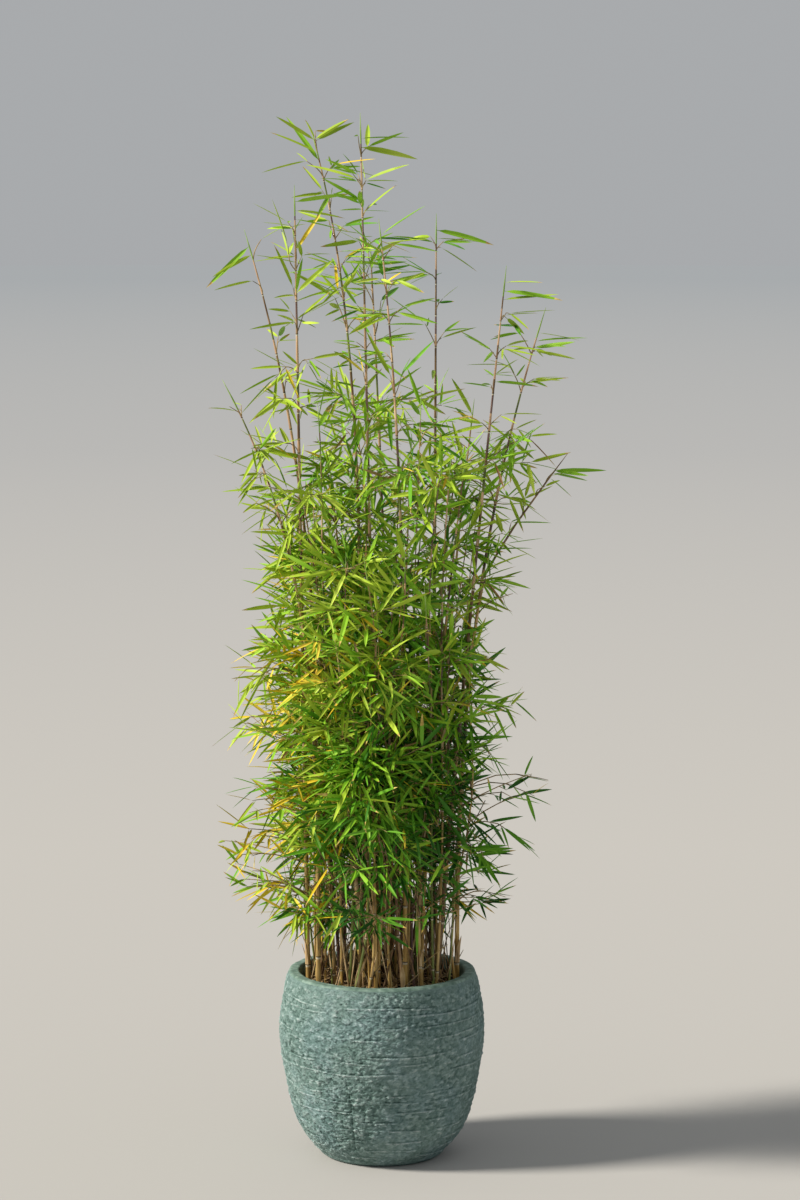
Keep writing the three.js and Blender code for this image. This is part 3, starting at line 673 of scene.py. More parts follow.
worst = 0.0
for number, shoot in enumerate(shoots, start=1):
    low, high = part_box(f"culm_{number:02d}")
    worst = max(worst, abs(high.z - culm_top(shoot)))
    middle = shoot_points(shoot, [SOIL_HEIGHT, culm_top(shoot)])[:, 0].mean()
    worst = max(worst, abs((low.x + high.x) / 2 - middle) - shoot["width"] / 2)
print(len(shoots), "shoots, apart from the frame's culms by", round(worst * 1000, 2), "mm at most")

# %% [markdown]
# A real clump has many more shoots than the frame's 24. The rest are thin ones, which stand
# between the others and carry much of the body's foliage. They are dealt at random over the
# clump, kept a few millimetres apart at the foot, and lean out like the short ones.

# %% Thin shoots between them
THIN_SHOOTS = 52
THIN_APART = 0.0105
THIN_RADIUS = 0.141
THIN_HEIGHTS = (0.66, 1.50, 1.08)  # the least, the most and the likeliest
THIN_WIDTHS = (0.0032, 0.0066)
THIN_LEAFY = 0.72  # share of its height
grow = random.Random(23)
thin_shoots = []


def place_on_soil(reach, draw):
    """The distance from the middle and the angle of a random place."""
    angle = draw.uniform(0, 2 * math.pi)
    return reach * math.sqrt(draw.random()), angle


while len(thin_shoots) < THIN_SHOOTS:
    radius, angle = place_on_soil(THIN_RADIUS, grow)
    foot = np.array(around(radius, angle))
    if min(np.hypot(*(foot - other["foot"])) for other in shoots + thin_shoots) < THIN_APART:
        continue
    height = grow.triangular(*THIN_HEIGHTS)
    turn = angle + grow.gauss(0, 0.35)
    reach = min(radius * grow.uniform(0.9, 1.5) + 0.03, 0.20)
    leafy = (height - SOIL_HEIGHT) * THIN_LEAFY
    bend, width = grow.uniform(1.0, 2.2), grow.uniform(*THIN_WIDTHS)
    shoot = make_shoot(foot, (*around(reach, turn), height), bend, leafy, width)
    shoot["sway"] = (grow.gauss(0, 0.009), grow.gauss(0, 0.009), grow.uniform(1.5, 3.5))
    thin_shoots.append(shoot)
all_shoots = shoots + thin_shoots
print(len(thin_shoots), "thin shoots, so", len(all_shoots), "stand in the pot")

# %% [markdown]
# A culm is a chain of tubes with a joint every hand's width: far apart low down, close together
# at the top. A joint shows as a pale dusty ring, a dark line and a raised ridge. Above it the wall
# may still be wrapped in its dry sheath. Each culm is one tube whose rings are closer at its
# joints, and each band between two rings has its own finish.

# %% Joints of a culm
LONG_INTERNODE = 0.112
SHORT_INTERNODE = 0.050
PLANT_HEIGHT = 1.9
SPEAR_LENGTH = 0.055


def joint_heights(shoot, draw):
    heights = []
    height = SOIL_HEIGHT + draw.uniform(0.012, 0.07)
    while height < shoot["tip"][2] - SPEAR_LENGTH * 0.8:
        heights.append(height)
        share = (height - SOIL_HEIGHT) / (PLANT_HEIGHT - SOIL_HEIGHT)
        internode = LONG_INTERNODE + (SHORT_INTERNODE - LONG_INTERNODE) * share**0.7
        height += internode * draw.uniform(0.86, 1.14)
    return heights


def shoot_radius(shoot, height):
    spear_foot = shoot["tip"][2] - SPEAR_LENGTH
    top = min(culm_top(shoot), spear_foot - 0.02)
    end = min(CULM_TIP_WIDTH, shoot["width"] * 0.70)
    widths = [shoot["width"], end, end * 0.55]
    own = np.interp(height, [SOIL_HEIGHT, top, spear_foot], widths) / 2
    flare = max(0.0, 1 - max(height - SOIL_HEIGHT, 0) / FLARE_HEIGHT)
    return own * (1 + (FLARE - 1) * flare)


for shoot in all_shoots:
    shoot["joints"] = joint_heights(shoot, grow)

# %% [markdown]
# Low down the culms are tan and golden, with some olive and some purple brown among them. Higher
# up an internode is often purple brown, with its lower part in a tan or pinkish sheath. The
# finishes are long soft streaks along the cane, because cane fades and stains along its grain.

# %% Finishes of the culms
CANE_TONES = {
    "tan": ["7e6436", "a88a50", "c8ad70"],
    "golden": ["987637", "be9a54", "dabb78"],
    "olive": ["4b5624", "6d783a", "8d944f"],
    "brown": ["533c29", "7a5e40", "9c7f5a"],
    "purple": ["4a3534", "6a4f4a", "8c7064"],
    "sheath": ["9a7759", "c19b77", "dcbc97"],
    "bloom": ["a79a80", "c4b99e", "d8cfb8"],
    "line": ["241a14", "3a2b20", "4a392b"],
    "spear": ["6d8c38", "88a848", "a8c468"],
}
CANE_NAMES = list(CANE_TONES)
CANE_STREAKS = (0.006, 4.0, (1, 1, 9))
CANE_RELIEF = (0.0004, 0.5)
cane_finishes = []
for name, tones in CANE_TONES.items():
    stops = spread(tones, 0.18)
    cane = grained_finish("cane " + name, 0.48, 0.4, stops, CANE_STREAKS, CANE_RELIEF)
    cane_finishes.append(cane)
print(len(cane_finishes), "cane finishes")

# %% The culms
CULM_SIDES, THIN_SIDES = 10, 8
CULM_POINT = 0.0003  # radius at the very tip
LOW_CANES = ["tan", "tan", "golden", "olive", "brown", "olive", "tan", "brown", "golden", "purple"]
WRAPPED_FROM, HALF_WRAPPED_FROM = 1.0, 0.6  # metres


def wall_bands(height, tone, draw):
    """The finish of an internode's lower and upper part."""
    if height > WRAPPED_FROM and draw.random() < 0.9:
        lower = draw.choice(["sheath", "sheath", "brown"])
        return lower, draw.choice(["purple", "brown", "sheath", "olive"])
    if height > HALF_WRAPPED_FROM and draw.random() < 0.5:
        return "sheath", draw.choice([tone, "olive", "brown", "purple"])
    return tone, tone


def culm_rings(shoot, draw):
    """Heights, swellings and the finish of the band above each ring."""
    tone = draw.choice(LOW_CANES)
    rings = [(SOIL_HEIGHT - 0.012, 1.0, tone), (SOIL_HEIGHT + 0.008, 1.0, tone)]
    for height in shoot["joints"]:
        size = 0.4 + 0.6 * shoot_radius(shoot, height) / 0.005
        lower, upper = wall_bands(height, tone, draw)
        rings += [
            (height - 0.0055 * size, 1.01, "bloom"),
            (height - 0.0016 * size, 1.10, "line"),
            (height + 0.0006 * size, 1.17, lower),
            (height + 0.0040 * size, 1.14 if lower == "sheath" else 1.03, lower),
            (height + draw.uniform(0.020, 0.034), 1.12 if upper == "sheath" else 1.0, upper),
        ]
    spear_foot = shoot["tip"][2] - SPEAR_LENGTH
    rings = [ring for ring in rings if ring[0] < spear_foot - 0.004]
    return [*rings, (spear_foot, 1.0, "spear"), (spear_foot + SPEAR_LENGTH * 0.3, 1.15, "spear")]


def build_culms(some_shoots, sides, draw):
    """The culms' points and faces, and the finish of each face, their flat ends included."""
    parts, bands = [], []
    per_end = sides // 2 - 1
    for shoot in some_shoots:
        heights, swellings, names = zip(*culm_rings(shoot, draw))
        radii = [shoot_radius(shoot, height) * swell for height, swell in zip(heights, swellings)]
        line = shoot_points(shoot, [*heights, shoot["tip"][2]])
        parts.append(lay_tubes([line], [[*radii, CULM_POINT]], sides))
        tones = [CANE_NAMES.index(name) for name in names]
        first_end, last_end = [tones[0]] * per_end, [tones[-1]] * per_end
        bands += [*first_end, *np.repeat(tones, sides), *last_end]
    return *joined(parts), bands


culm_nodes = [f"culm_{number:02d}" for number in range(1, len(shoots) + 1)]
culm_xyz, culm_faces, culm_bands = build_culms(shoots, CULM_SIDES, grow)
make_piece("culms", culm_xyz, culm_faces, cane_finishes, "cane", culm_nodes, culm_bands)
thin_xyz, thin_faces, thin_bands = build_culms(thin_shoots, THIN_SIDES, grow)
make_piece("thin_culms", thin_xyz, thin_faces, cane_finishes, "cane", (), thin_bands)

# %% [markdown]
# As culms age, their lowest sheaths come loose and stand off as papery strips, and dead sticks
# lean across the clump. A strip is a piece of a tube: it starts tight round the culm at a joint,
# narrows to a point and curls away. The sticks are thin bent tubes.

# %% Loose sheaths
SHEATH_ROWS, SHEATH_COLUMNS = 7, 7
SHEATHS_UNDER = 0.95  # metres
SHEATHS_LOOSE = 0.45  # share of the joints


def loose_sheath(shoot, height, draw):
    length = draw.uniform(0.035, 0.085)
    middle = draw.uniform(0, 2 * math.pi)
    half_turn = draw.uniform(1.2, 2.0)
    curl = draw.uniform(0.001, 0.008)
    share = np.linspace(0, 1, SHEATH_ROWS)
    centre = shoot_points(shoot, height + length * share)
    reach = half_turn * (1 - share**1.6) + 0.06
    turn = middle + np.linspace(-1, 1, SHEATH_COLUMNS)[None] * reach[:, None]
    radius = shoot_radius(shoot, height) * 1.14 + 0.0003 + curl * share**2.2
    x = centre[:, :1] + radius[:, None] * np.cos(turn)
    y = centre[:, 1:2] + radius[:, None] * np.sin(turn)
    z = np.repeat(centre[:, 2:], SHEATH_COLUMNS, axis=1)
    return np.stack([x, y, z], axis=-1).reshape(-1, 3)


sheaths = []
strip_faces = quads(SHEATH_ROWS, SHEATH_COLUMNS, closed=False)
for shoot in all_shoots:
    for height in shoot["joints"]:
        if height < SHEATHS_UNDER and grow.random() < SHEATHS_LOOSE:
            sheaths.append((loose_sheath(shoot, height, grow), strip_faces))
straw_tones = spread(["8d7250", "b79a6f", "d3bd94"])
straw = grained_finish("straw", 0.7, 0.25, straw_tones, (0.005, 4.0, (1, 1, 6)), (0.0005, 0.6))
make_piece("loose_sheaths", *joined(sheaths), [straw], "cane")

# %% Dead sticks
STICKS = 130
STICK_POINTS, STICK_SIDES = 6, 6
STICKS_RADIUS = 0.138
GREY_STICKS = 0.78  # share of dead wood, the rest is straw
share = np.linspace(0, 1, STICK_POINTS)[:, None]
stick_lines = []
for _ in range(STICKS):
    radius, angle = place_on_soil(STICKS_RADIUS, grow)
    start = np.array([*around(radius, angle), SOIL_HEIGHT - 0.004])
    lean, turn = grow.uniform(0.03, 0.55), angle + math.pi + grow.gauss(0, 1.2)
    length = grow.uniform(0.10, 0.42)
    way = np.array([*around(math.sin(lean), turn), math.cos(lean)])
    bow = np.array([grow.uniform(-1, 1), grow.uniform(-1, 1), 0]) * 0.02
    stick_lines.append(start + way * length * share + bow * np.sin(share * math.pi))
stick_widths = np.array([[grow.uniform(0.0007, 0.0021)] for _ in stick_lines])
stick_radii = stick_widths * np.linspace(1, 0.45, STICK_POINTS)
dead_tones = spread(["3d2d20", "5e4832", "86694a"])
dead_streaks = (0.006, 4.0, (1, 1, 6))
dead_wood = grained_finish("dead wood", 0.75, 0.2, dead_tones, dead_streaks, (0.0004, 0.5))
stick_xyz, stick_faces = lay_tubes(stick_lines, stick_radii, STICK_SIDES)
is_grey = [int(grow.random() < GREY_STICKS) for _ in range(STICKS)]
stick_bands = np.repeat(is_grey, len(stick_faces) // STICKS)
make_piece("dead_sticks", stick_xyz, stick_faces, [straw, dead_wood], "cane", (), stick_bands)

# %% [markdown]
# The foliage keeps to the frame's crown. Its outline is a list of heights with the reach to the
# left and to the right, and a leaf whose point would pass it is left out. Inside it the crown
# isn't even: it is almost closed low down on the left, opens towards the right, where light shows
# through, and is loose above the short shoots' tops.

# %% The crown's reach and fullness
CROWN_OUTLINE = [  # height, reach to the left, reach to the right
    (0.37, 0.170, 0.150),
    (0.41, 0.235, 0.180),
    (0.54, 0.315, 0.300),
    (0.70, 0.330, 0.325),
    (0.86, 0.305, 0.285),
    (1.02, 0.275, 0.265),
    (1.16, 0.270, 0.310),
    (1.22, 0.290, 0.412),
    (1.30, 0.320, 0.415),
    (1.56, 0.334, 0.385),
    (1.70, 0.334, 0.260),
    (1.95, 0.200, 0.110),
]
CROWN_TOP = 1.905
TWIG_SPREAD = [  # height, how long the twigs are on the left and on the right
    (0.45, 1.20, 0.90),
    (0.62, 1.30, 0.85),
    (0.76, 1.20, 0.65),
    (0.86, 1.15, 0.40),
    (1.08, 1.10, 0.40),
    (1.25, 0.90, 0.75),
    (1.45, 0.75, 0.75),
]
FULLNESS = [  # height, share of twigs kept on the left and on the right
    (0.38, 0.26, 0.12),
    (0.46, 0.80, 0.28),
    (0.54, 1.10, 0.38),
    (0.62, 1.40, 0.54),
    (0.72, 1.50, 0.75),
    (0.84, 1.45, 0.70),
    (0.94, 1.25, 0.48),
    (1.08, 1.15, 0.42),
    (1.25, 0.85, 0.55),
    (1.45, 0.85, 0.75),
    (1.90, 0.95, 0.95),
]


def left_to_right(rows, height, x, y):
    """A value from rows of (height, left, right), turned smoothly round the crown."""
    heights, left, right = zip(*rows)
    turn = (1 + x / max(math.hypot(x, y), 0.001)) / 2
    return np.interp(height, heights, left) * (1 - turn) + np.interp(height, heights, right) * turn


def in_crown(spot):
    if spot.z < CROWN_OUTLINE[0][0] or spot.z > CROWN_TOP:
        return False
    return math.hypot(spot.x, spot.y) < left_to_right(CROWN_OUTLINE, spot.z, spot.x, spot.y)


reaches = [left_to_right(CROWN_OUTLINE, 1.3, x, 0) for x in (-1, 1)]
print("reach at 1.3 m, left and right:", [round(float(reach), 3) for reach in reaches])

# %% [markdown]
# A leaf's colour depends on its place, and paints in the light and shade that fall there. Leaves at
# the top and on the outside to the left are a bright yellow green, painted light, and those inside
# and low on the right are deep and bluish, painted shade. Low on the left many have turned yellow
# or orange, their own colour. A spray draws its tint from how much sun its place gets, and a few
# leaves of it take another tint, so that no spray is all alike.

# %% Tints of the leaves, with painted light and shade
GREENS = ["bright", "fresh", "green", "deep", "shaded"]
TURNED = ["yellow", "orange", "dry"]
TINTS = GREENS + TURNED
# Steps of painted light: the more light a place gets, the brighter its green; below the last step
# the leaves take the painted shade of the shaded tint.
PAINTED_LIGHT_STEPS = [(0.62, "bright"), (0.44, "fresh"), (0.28, "green"), (0.12, "deep")]
ODD_LEAVES, NEXT_TINTS = 0.022, 0.25  # shares of the leaves of a green spray


def share_between(value, low, high):
    return min(max((value - low) / (high - low), 0), 1)


def painted_light_at(spot):
    """How much light a place gets, from 0 to about 1, painted into the leaves' greens."""
    outward = math.hypot(spot.x, spot.y) / left_to_right(CROWN_OUTLINE, spot.z, spot.x, spot.y)
    height = share_between(spot.z, 0.6, 1.22)
    outside = 0.44 * outward * (0.60 + 0.40 * share_between(spot.z, 0.5, 0.75))
    return 0.06 + outside + 0.40 * height - (0.8 if spot.x < 0 else 0.22) * spot.x - 0.18 * spot.y


def spray_tint(spot, draw):
    low_left = share_between(-spot.x, 0.03, 0.15) * share_between(1.12 - spot.z, 0.0, 0.2)
    if draw.random() < 0.02 + 0.72 * low_left:
        return draw.choice(["yellow", "yellow", "yellow", "yellow", "bright", "orange"])
    # The light of the place, painted in as a brighter or darker green.
    sun = painted_light_at(spot) + draw.gauss(0, 0.12)
    return next((name for step, name in PAINTED_LIGHT_STEPS if sun > step), "shaded")


def leaf_tint(tint, draw):
    """The tint of one leaf of a spray."""
    if tint in TURNED:
        return draw.choice([tint, "yellow", "yellow", "bright", "bright", "fresh"])
    chance = draw.random()
    if chance < ODD_LEAVES:
        return draw.choice(["yellow", "yellow", "dry"])
    if chance > NEXT_TINTS:
        return tint
    place = GREENS.index(tint) + draw.choice([-1, 1])
    return GREENS[min(max(place, 0), len(GREENS) - 1)]


# %% [markdown]
# A spray is a twig with one to five leaves in two ranks. Its heading comes from the twig that
# carries it. The first leaf carries on at the tip, the others stand off to the left and right in
# turn, and all hang a little, more so low in the crown. A main twig leaves its culm steeply,
# arches over and carries a spray at its end and mostly one or two on its sides.

# %% Growing a spray
UP = Vector((0, 0, 1))
TWIG_STEPS = (0, 0.25, 0.5, 0.75, 1)
LEAF_SHAPE = (0.077, 0.108)  # width beside length
NARROWEST = 0.0050
TURNED_WIDTH = 0.8  # of a green leaf's
POINT_DRY, HALF_DRY = 1, 2
DRY_SHARE, HALF_DRY_SHARE = 0.30, 0.02  # of all leaves
leaf_rows = []  # root, heading, side, length, width, droop, tint, how dry
twig_lines, twig_radii = [], []


def level_side(way):
    side = way.cross(UP)
    return side.normalized() if side.length > 0.05 else Vector((1, 0, 0))


def rolled(side, way, roll):
    return side * math.cos(roll) + side.cross(way) * math.sin(roll)


def way_up(turn, rise):
    """A direction that rises by an angle above the level."""
    return Vector((*around(math.cos(rise), turn), math.sin(rise)))


def add_leaf(root, way, length, tint, draw):
    droop = draw.uniform(0, 0.07)
    if not in_crown(root + way * length - UP * droop * length):
        return
    side = rolled(level_side(way), way, draw.gauss(0, 0.8))
    width = length * draw.uniform(*LEAF_SHAPE) * (TURNED_WIDTH if tint in TURNED else 1)
    chance = draw.random()
    dry = HALF_DRY if chance < HALF_DRY_SHARE else POINT_DRY if chance < DRY_SHARE else 0
    shape = (length, max(width, NARROWEST), droop)
    leaf_rows.append((*root, *way, *side, *shape, TINTS.index(tint), dry))


def add_twig(points, start, end):
    twig_lines.append(np.array([tuple(p) for p in points]))
    twig_radii.append(np.linspace(start, end, len(points)))


def grow_spray(base, heading, length, kind, draw):
    if draw.random() < kind["drooping"]:
        heading = (heading - UP * draw.uniform(0.5, 1.1)).normalized()
    tint = spray_tint(base, draw)
    side = rolled(level_side(heading), heading, draw.gauss(0, 0.5))
    sag = UP * kind["hang"] * length * 0.3
    points = [base + heading * length * share - sag * share * share for share in TWIG_STEPS]
    add_twig(points, 0.0008, 0.0005)
    first = draw.choice([-1, 1])
    for number in range(draw.randint(*kind["leaves"])):
        root = base.lerp(points[-1], max(1 - 0.2 * number, 0.2))
        if number == 0:
            turn = draw.gauss(0, 0.15)
        else:
            turn = first * (-1) ** number * draw.uniform(0.4, 1.05)
        way = heading * math.cos(turn) + side * math.sin(turn)
        way.z = way.z * kind["keep"] + draw.gauss(-kind["hang"], kind["sway"])
        size = draw.uniform(*kind["leaf"]) * (1 - 0.06 * number)
        add_leaf(root, way.normalized(), size, leaf_tint(tint, draw), draw)


def grow_twig(base, angle, length, kind, draw):
    """A main twig of five points, with a spray at its end and others on its sides."""
    rises = np.linspace(kind["rise"] + draw.gauss(0, 0.2), kind["fall"] + draw.gauss(0, 0.25), 4)
    spot = base.copy()
    points = [spot.copy()]
    for rise in rises:
        angle += draw.gauss(0, 0.12)
        level = Vector((*around(1, angle), 0))
        spot += (level * math.cos(rise) + UP * math.sin(rise)) * length / 4
        points.append(spot.copy())
    if not in_crown(points[-1] + (points[-1] - base).normalized() * 0.035):
        return
    add_twig(points, 0.0013 if length > 0.05 else 0.0010, 0.0008)
    ahead = (points[-1] - points[-2]).normalized()
    grow_spray(points[-1], ahead, draw.uniform(*kind["end"]), kind, draw)
    sign = draw.choice([-1, 1])
    for number in range(int(kind["sides"] + draw.random())):
        place = 3 - number
        heading = (points[place + 1] - points[place]).normalized()
        turn = sign * (-1) ** number * draw.uniform(0.5, 1.0)
        heading = heading * math.cos(turn) + level_side(heading) * math.sin(turn)
        grow_spray(points[place], heading.normalized(), draw.uniform(*kind["side"]), kind, draw)


# %% [markdown]
# Three kinds of growth make the crown. At the top a shoot has short steep twigs, whose leaves
# stand almost level. In the body the twigs are long and branch again, and their leaves point every
# way and hang a little. The lowest twigs reach out round the clump, as the frame's lower masses
# do. A twig's direction turns by the golden angle from joint to joint, and leans towards the
# outside, where the light is.

# %% Growing the crown
TOP_KIND = {
    "rise": 1.25, "fall": 0.85, "sides": 0.8, "leaves": (1, 3), "leaf": (0.042, 0.100),
    "keep": 0.35, "hang": 0.10, "sway": 0.22, "drooping": 0.05,
    "end": (0.006, 0.018), "side": (0.003, 0.008),
}
BODY_KIND = {
    "rise": 1.05, "fall": 0.20, "sides": 1.9, "leaves": (3, 5), "leaf": (0.046, 0.093),
    "keep": 0.9, "hang": 0.12, "sway": 0.52, "drooping": 0.16,
    "end": (0.012, 0.034), "side": (0.010, 0.030),
}
LOW_KIND = dict(
    BODY_KIND, rise=0.60, fall=0.05, sides=1.2, leaves=(2, 4), leaf=(0.044, 0.088), hang=0.15
)
TOP_TWIG = (0.008, 0.036)
BODY_TWIG = (0.020, 0.072)
LONG_TWIG, LONG_SHARE = 2.0, 0.12  # how much longer, and how many are
TOP_FROM = 1.34  # metres
LOW_UNDER = 0.56
LEAFY_FROM, TALL_LEAFY_FROM = 0.39, 1.02
POCKETS = 9.0  # light and full places are about 1 / POCKETS metres apart
TOP_TWIGS, TALL_TWIGS, SHORT_TWIGS, THIN_TWIGS = 3.2, 2.6, 3.2, 2.3  # at a joint
PATCHES, TOP_PATCHES = 1.3, 0.4  # how much fuller and emptier the places are
PULL, TOP_PULL = 0.5, 0.25  # towards the outside
TIP_LEAF = (0.078, 0.110)


def outward_angle(spot, turned, pull):
    """A direction between the golden angle's and the way out of the clump."""
    out = Vector((spot.x, spot.y, 0))
    out = out.normalized() * pull if out.length > 0.02 else Vector((0, 0, 0))
    way = Vector((*around(1, turned), 0)) + out
    return math.atan2(way.y, way.x)


def grow_on(shoot, lowest, many, draw):
    """Twigs at each joint of a shoot above a height."""
    turned = draw.uniform(0, 2 * math.pi)
    for height in shoot["joints"]:
        if height < lowest:
            continue
        spot = Vector(shoot_points(shoot, height)[0])
        top = height > max(culm_top(shoot), TOP_FROM)
        twigs = (TOP_TWIGS if top else many) * left_to_right(FULLNESS, height, spot.x, spot.y)
        patches = (TOP_PATCHES if top else PATCHES) * noise.noise(spot * POCKETS)
        twigs *= (1 + patches) * shoot["leafiness"]
        for _ in range(int(twigs + draw.random())):
            turned += GOLDEN_ANGLE
            angle = outward_angle(spot, turned, TOP_PULL if top else PULL)
            length = draw.uniform(*TOP_TWIG)
            if not top:
                length = draw.uniform(*BODY_TWIG)
                length *= left_to_right(TWIG_SPREAD, height, spot.x, spot.y)
            if draw.random() < LONG_SHARE:
                length *= LONG_TWIG
            kind = TOP_KIND if top else BODY_KIND if height > LOW_UNDER else LOW_KIND
            grow_twig(spot, angle, length, kind, draw)


def grow_top_leaves(shoot, side, rises, draw):
    """The leaves round a shoot's spear."""
    for number, rise in enumerate(rises):
        height = shoot["tip"][2] - SPEAR_LENGTH * (0.55 + 0.28 * number)
        root = Vector(shoot_points(shoot, height)[0])
        way = way_up(side + draw.gauss(0, 0.3), rise)
        # The leaves round a spear take the lit tints, painted light.
        length, tint = draw.uniform(*TIP_LEAF), draw.choice(["bright", "fresh", "fresh"])
        add_leaf(root, way, length, tint, draw)


for shoot, (leafiness, side, rises) in zip(shoots, TOP_LEAVES):
    shoot["leafiness"] = leafiness
    grow_on(shoot, TALL_LEAFY_FROM, TALL_TWIGS, grow)
    grow_top_leaves(shoot, math.radians(side), rises, grow)
for number, shoot in enumerate(all_shoots[len(TALL_SHOOTS) :]):
    outside = np.hypot(*shoot["foot"]) > 0.09
    shoot["leafiness"] = grow.choice([0.15, 0.15, 0.7, 1.1, 1.3] if outside else [0.5, 1.1, 1.3])
    grow_on(shoot, LEAFY_FROM, SHORT_TWIGS if number < SHORT_SHOOTS else THIN_TWIGS, grow)
    grow_top_leaves(shoot, grow.uniform(0, 2 * math.pi), (0.9, 0.4), grow)
print(len(twig_lines), "twigs and", len(leaf_rows), "leaves so far")

# %% [markdown]
# Low in the clump old joints carry thin bare twigs, whose leaves have dropped. Leafy twigs stand
# out from the outer shoots there, and a few reach far, as they do in real life. These few are
# listed, and each grows from the shoot that stands furthest out on its side.

# %% Bare twigs low down
BARE_UNDER = 0.85  # metres
BARE_SHARE = 0.8  # of the joints
for shoot in all_shoots:
    for height in shoot["joints"]:
        if height > BARE_UNDER or grow.random() > BARE_SHARE:
            continue
        spot = Vector(shoot_points(shoot, height)[0])
        angle, rise = grow.uniform(0, 2 * math.pi), grow.uniform(0.7, 1.35)
        length = grow.uniform(0.02, 0.08)
        way = way_up(angle, rise)
        bend = UP * length * grow.uniform(-0.1, 0.25)
        points = [spot + way * length * share + bend * share * share for share in TWIG_STEPS]
        add_twig(points, 0.0011, 0.0005)
print(len(twig_lines), "twigs with the bare ones")

# %% The lowest twigs
SKIRT_TWIGS = 56
SKIRT_HEIGHTS = (0.44, 0.66)
OUTER_SHOOTS = 26


def reach_low_down(shoot):
    return np.hypot(*shoot_points(shoot, 0.56)[0][:2])


outer_shoots = sorted(all_shoots, key=reach_low_down, reverse=True)[:OUTER_SHOOTS]
for number in range(SKIRT_TWIGS):
    shoot = outer_shoots[number % OUTER_SHOOTS]
    height = grow.uniform(*SKIRT_HEIGHTS)
    spot = Vector(shoot_points(shoot, height)[0])
    if grow.random() > left_to_right(FULLNESS, height, spot.x, spot.y) + 0.2:
        continue
    angle = math.atan2(spot.y, spot.x) + grow.gauss(0, 0.5)
    grow_twig(spot, angle, grow.uniform(0.04, 0.11), LOW_KIND, grow)
print(len(leaf_rows), "leaves with the lowest twigs")

# %% Far-reaching twigs
FAR_TWIGS = [  # height, direction in degrees, length
    (0.67, 2, 0.160),
    (0.64, -20, 0.140),
    (0.47, -4, 0.075),
    (0.60, 14, 0.120),
    (0.80, -8, 0.080),
    (0.76, 178, 0.140),
    (0.55, 172, 0.140),
    (0.58, 196, 0.130),
    (0.90, 184, 0.110),
    (1.00, 4, 0.080),
    (0.62, 88, 0.130),
    (0.84, 110, 0.120),
    (0.52, 60, 0.130),
    (0.66, -85, 0.090),
    (0.94, 70, 0.110),
    (0.46, 176, 0.110),
    (0.49, 194, 0.120),
    (0.45, 214, 0.090),
    (0.47, -96, 0.060),
]
for height, degrees, length in FAR_TWIGS:
    angle = math.radians(degrees)
    way = np.array(around(1, angle))
    high_enough = [one for one in all_shoots if culm_top(one) > height]
    outermost = max(high_enough, key=lambda one: shoot_points(one, height)[0][:2] @ way)
    spot = Vector(shoot_points(outermost, height)[0])
    for _ in range(2):
        turned = angle + grow.gauss(0, 0.18)
        grow_twig(spot, turned, length * grow.uniform(0.7, 1), LOW_KIND, grow)
print(len(leaf_rows), "leaves with the far-reaching twigs")

# %% [markdown]
# On the right a branch leaves the ninth culm and reaches the furthest tip of the crown. It runs
# from the culm through a knee to its tip, as in the frame, and its leaves fan out from its end.

# %% The branch on the right
BRANCH_HEIGHT = 1.066
BRANCH_TIP = Vector((0.304, 0.030, 1.250))
BRANCH_STEM_END = Vector((0.338, 0.026, 1.296))
BRANCH_RADII = [0.0022, 0.0021, 0.0019, 0.0016, 0.0004]
BRANCH_LEAVES = [(0.02, 0.098), (-0.27, 0.092), (-0.70, 0.055)]  # how much it rises, its length
branch_foot = Vector(shoot_points(shoots[8], BRANCH_HEIGHT)[0])
knee = branch_foot.lerp(BRANCH_TIP, 0.5) + UP * 0.008
below_knee = branch_foot.lerp(knee, 0.5) + UP * 0.002
branch_line = [tuple(p) for p in (branch_foot, below_knee, knee, BRANCH_TIP, BRANCH_STEM_END)]
branch = lay_tubes([branch_line], [BRANCH_RADII], THIN_SIDES)
branch_bands = [CANE_NAMES.index("brown")] * len(branch[1])
make_piece("right_branch", *branch, cane_finishes, "cane", ["branch_right"], branch_bands)
for share in (0.4, 0.6, 0.8, 0.95):
    base = branch_foot.lerp(BRANCH_TIP, share) + UP * 0.008 * math.sin(share * math.pi)
    grow_twig(base, grow.gauss(0.0, 0.9), grow.uniform(0.010, 0.03), TOP_KIND, grow)
for rise, length in BRANCH_LEAVES:
    way = Vector((math.cos(rise), grow.gauss(0, 0.25), math.sin(rise))).normalized()
    add_leaf(BRANCH_TIP.lerp(BRANCH_STEM_END, 0.3 + rise * 0.4), way, length, "fresh", grow)
print(len(leaf_rows), "leaves in all")

# %% [markdown]
# All twigs are laid as four-sided tubes in one go. Young twigs are purple brown and older ones
# tan, so they are dealt to two pieces.

# %% Twig pieces
OLD_TWIGS = 0.4  # share of the twigs
twig_lines, twig_radii = np.array(twig_lines), np.array(twig_radii)
old = np.array([grow.random() < OLD_TWIGS for _ in twig_lines])
young_tones, old_tones = spread(["67583c", "948358"], 0.15), spread(["94794f", "bb9f6c"], 0.15)
young_bark = grained_finish("young twig", 0.55, 0.35, young_tones, (0.01, 3.0))
old_bark = grained_finish("old twig", 0.6, 0.3, old_tones, (0.01, 3.0))
make_piece("young_twigs", *lay_tubes(twig_lines[~old], twig_radii[~old]), [young_bark], "cane")
make_piece("old_twigs", *lay_tubes(twig_lines[old], twig_radii[old]), [old_bark], "cane")

# %% [markdown]
# A bamboo leaf has a short stalk, is broadest at a third of its length and ends in a long fine
# point. It is folded a little along its rib. Each leaf is two strips of quads that meet at the
# rib, which keeps the fold crisp, bent down along its length by its own droop. All leaves of one
# tint are made at once from arrays.

# %% Leaf shape
LEAF_ALONG = np.array([0.0, 0.05, 0.15, 0.36, 0.62, 0.86, 1.0])
LEAF_HALF = np.array([0.07, 0.12, 0.76, 1.0, 0.90, 0.50, 0.02])
LEAF_FOLD = 0.34  # how far the edges rise beside half the width
LEAF_GLOSS = 0.15


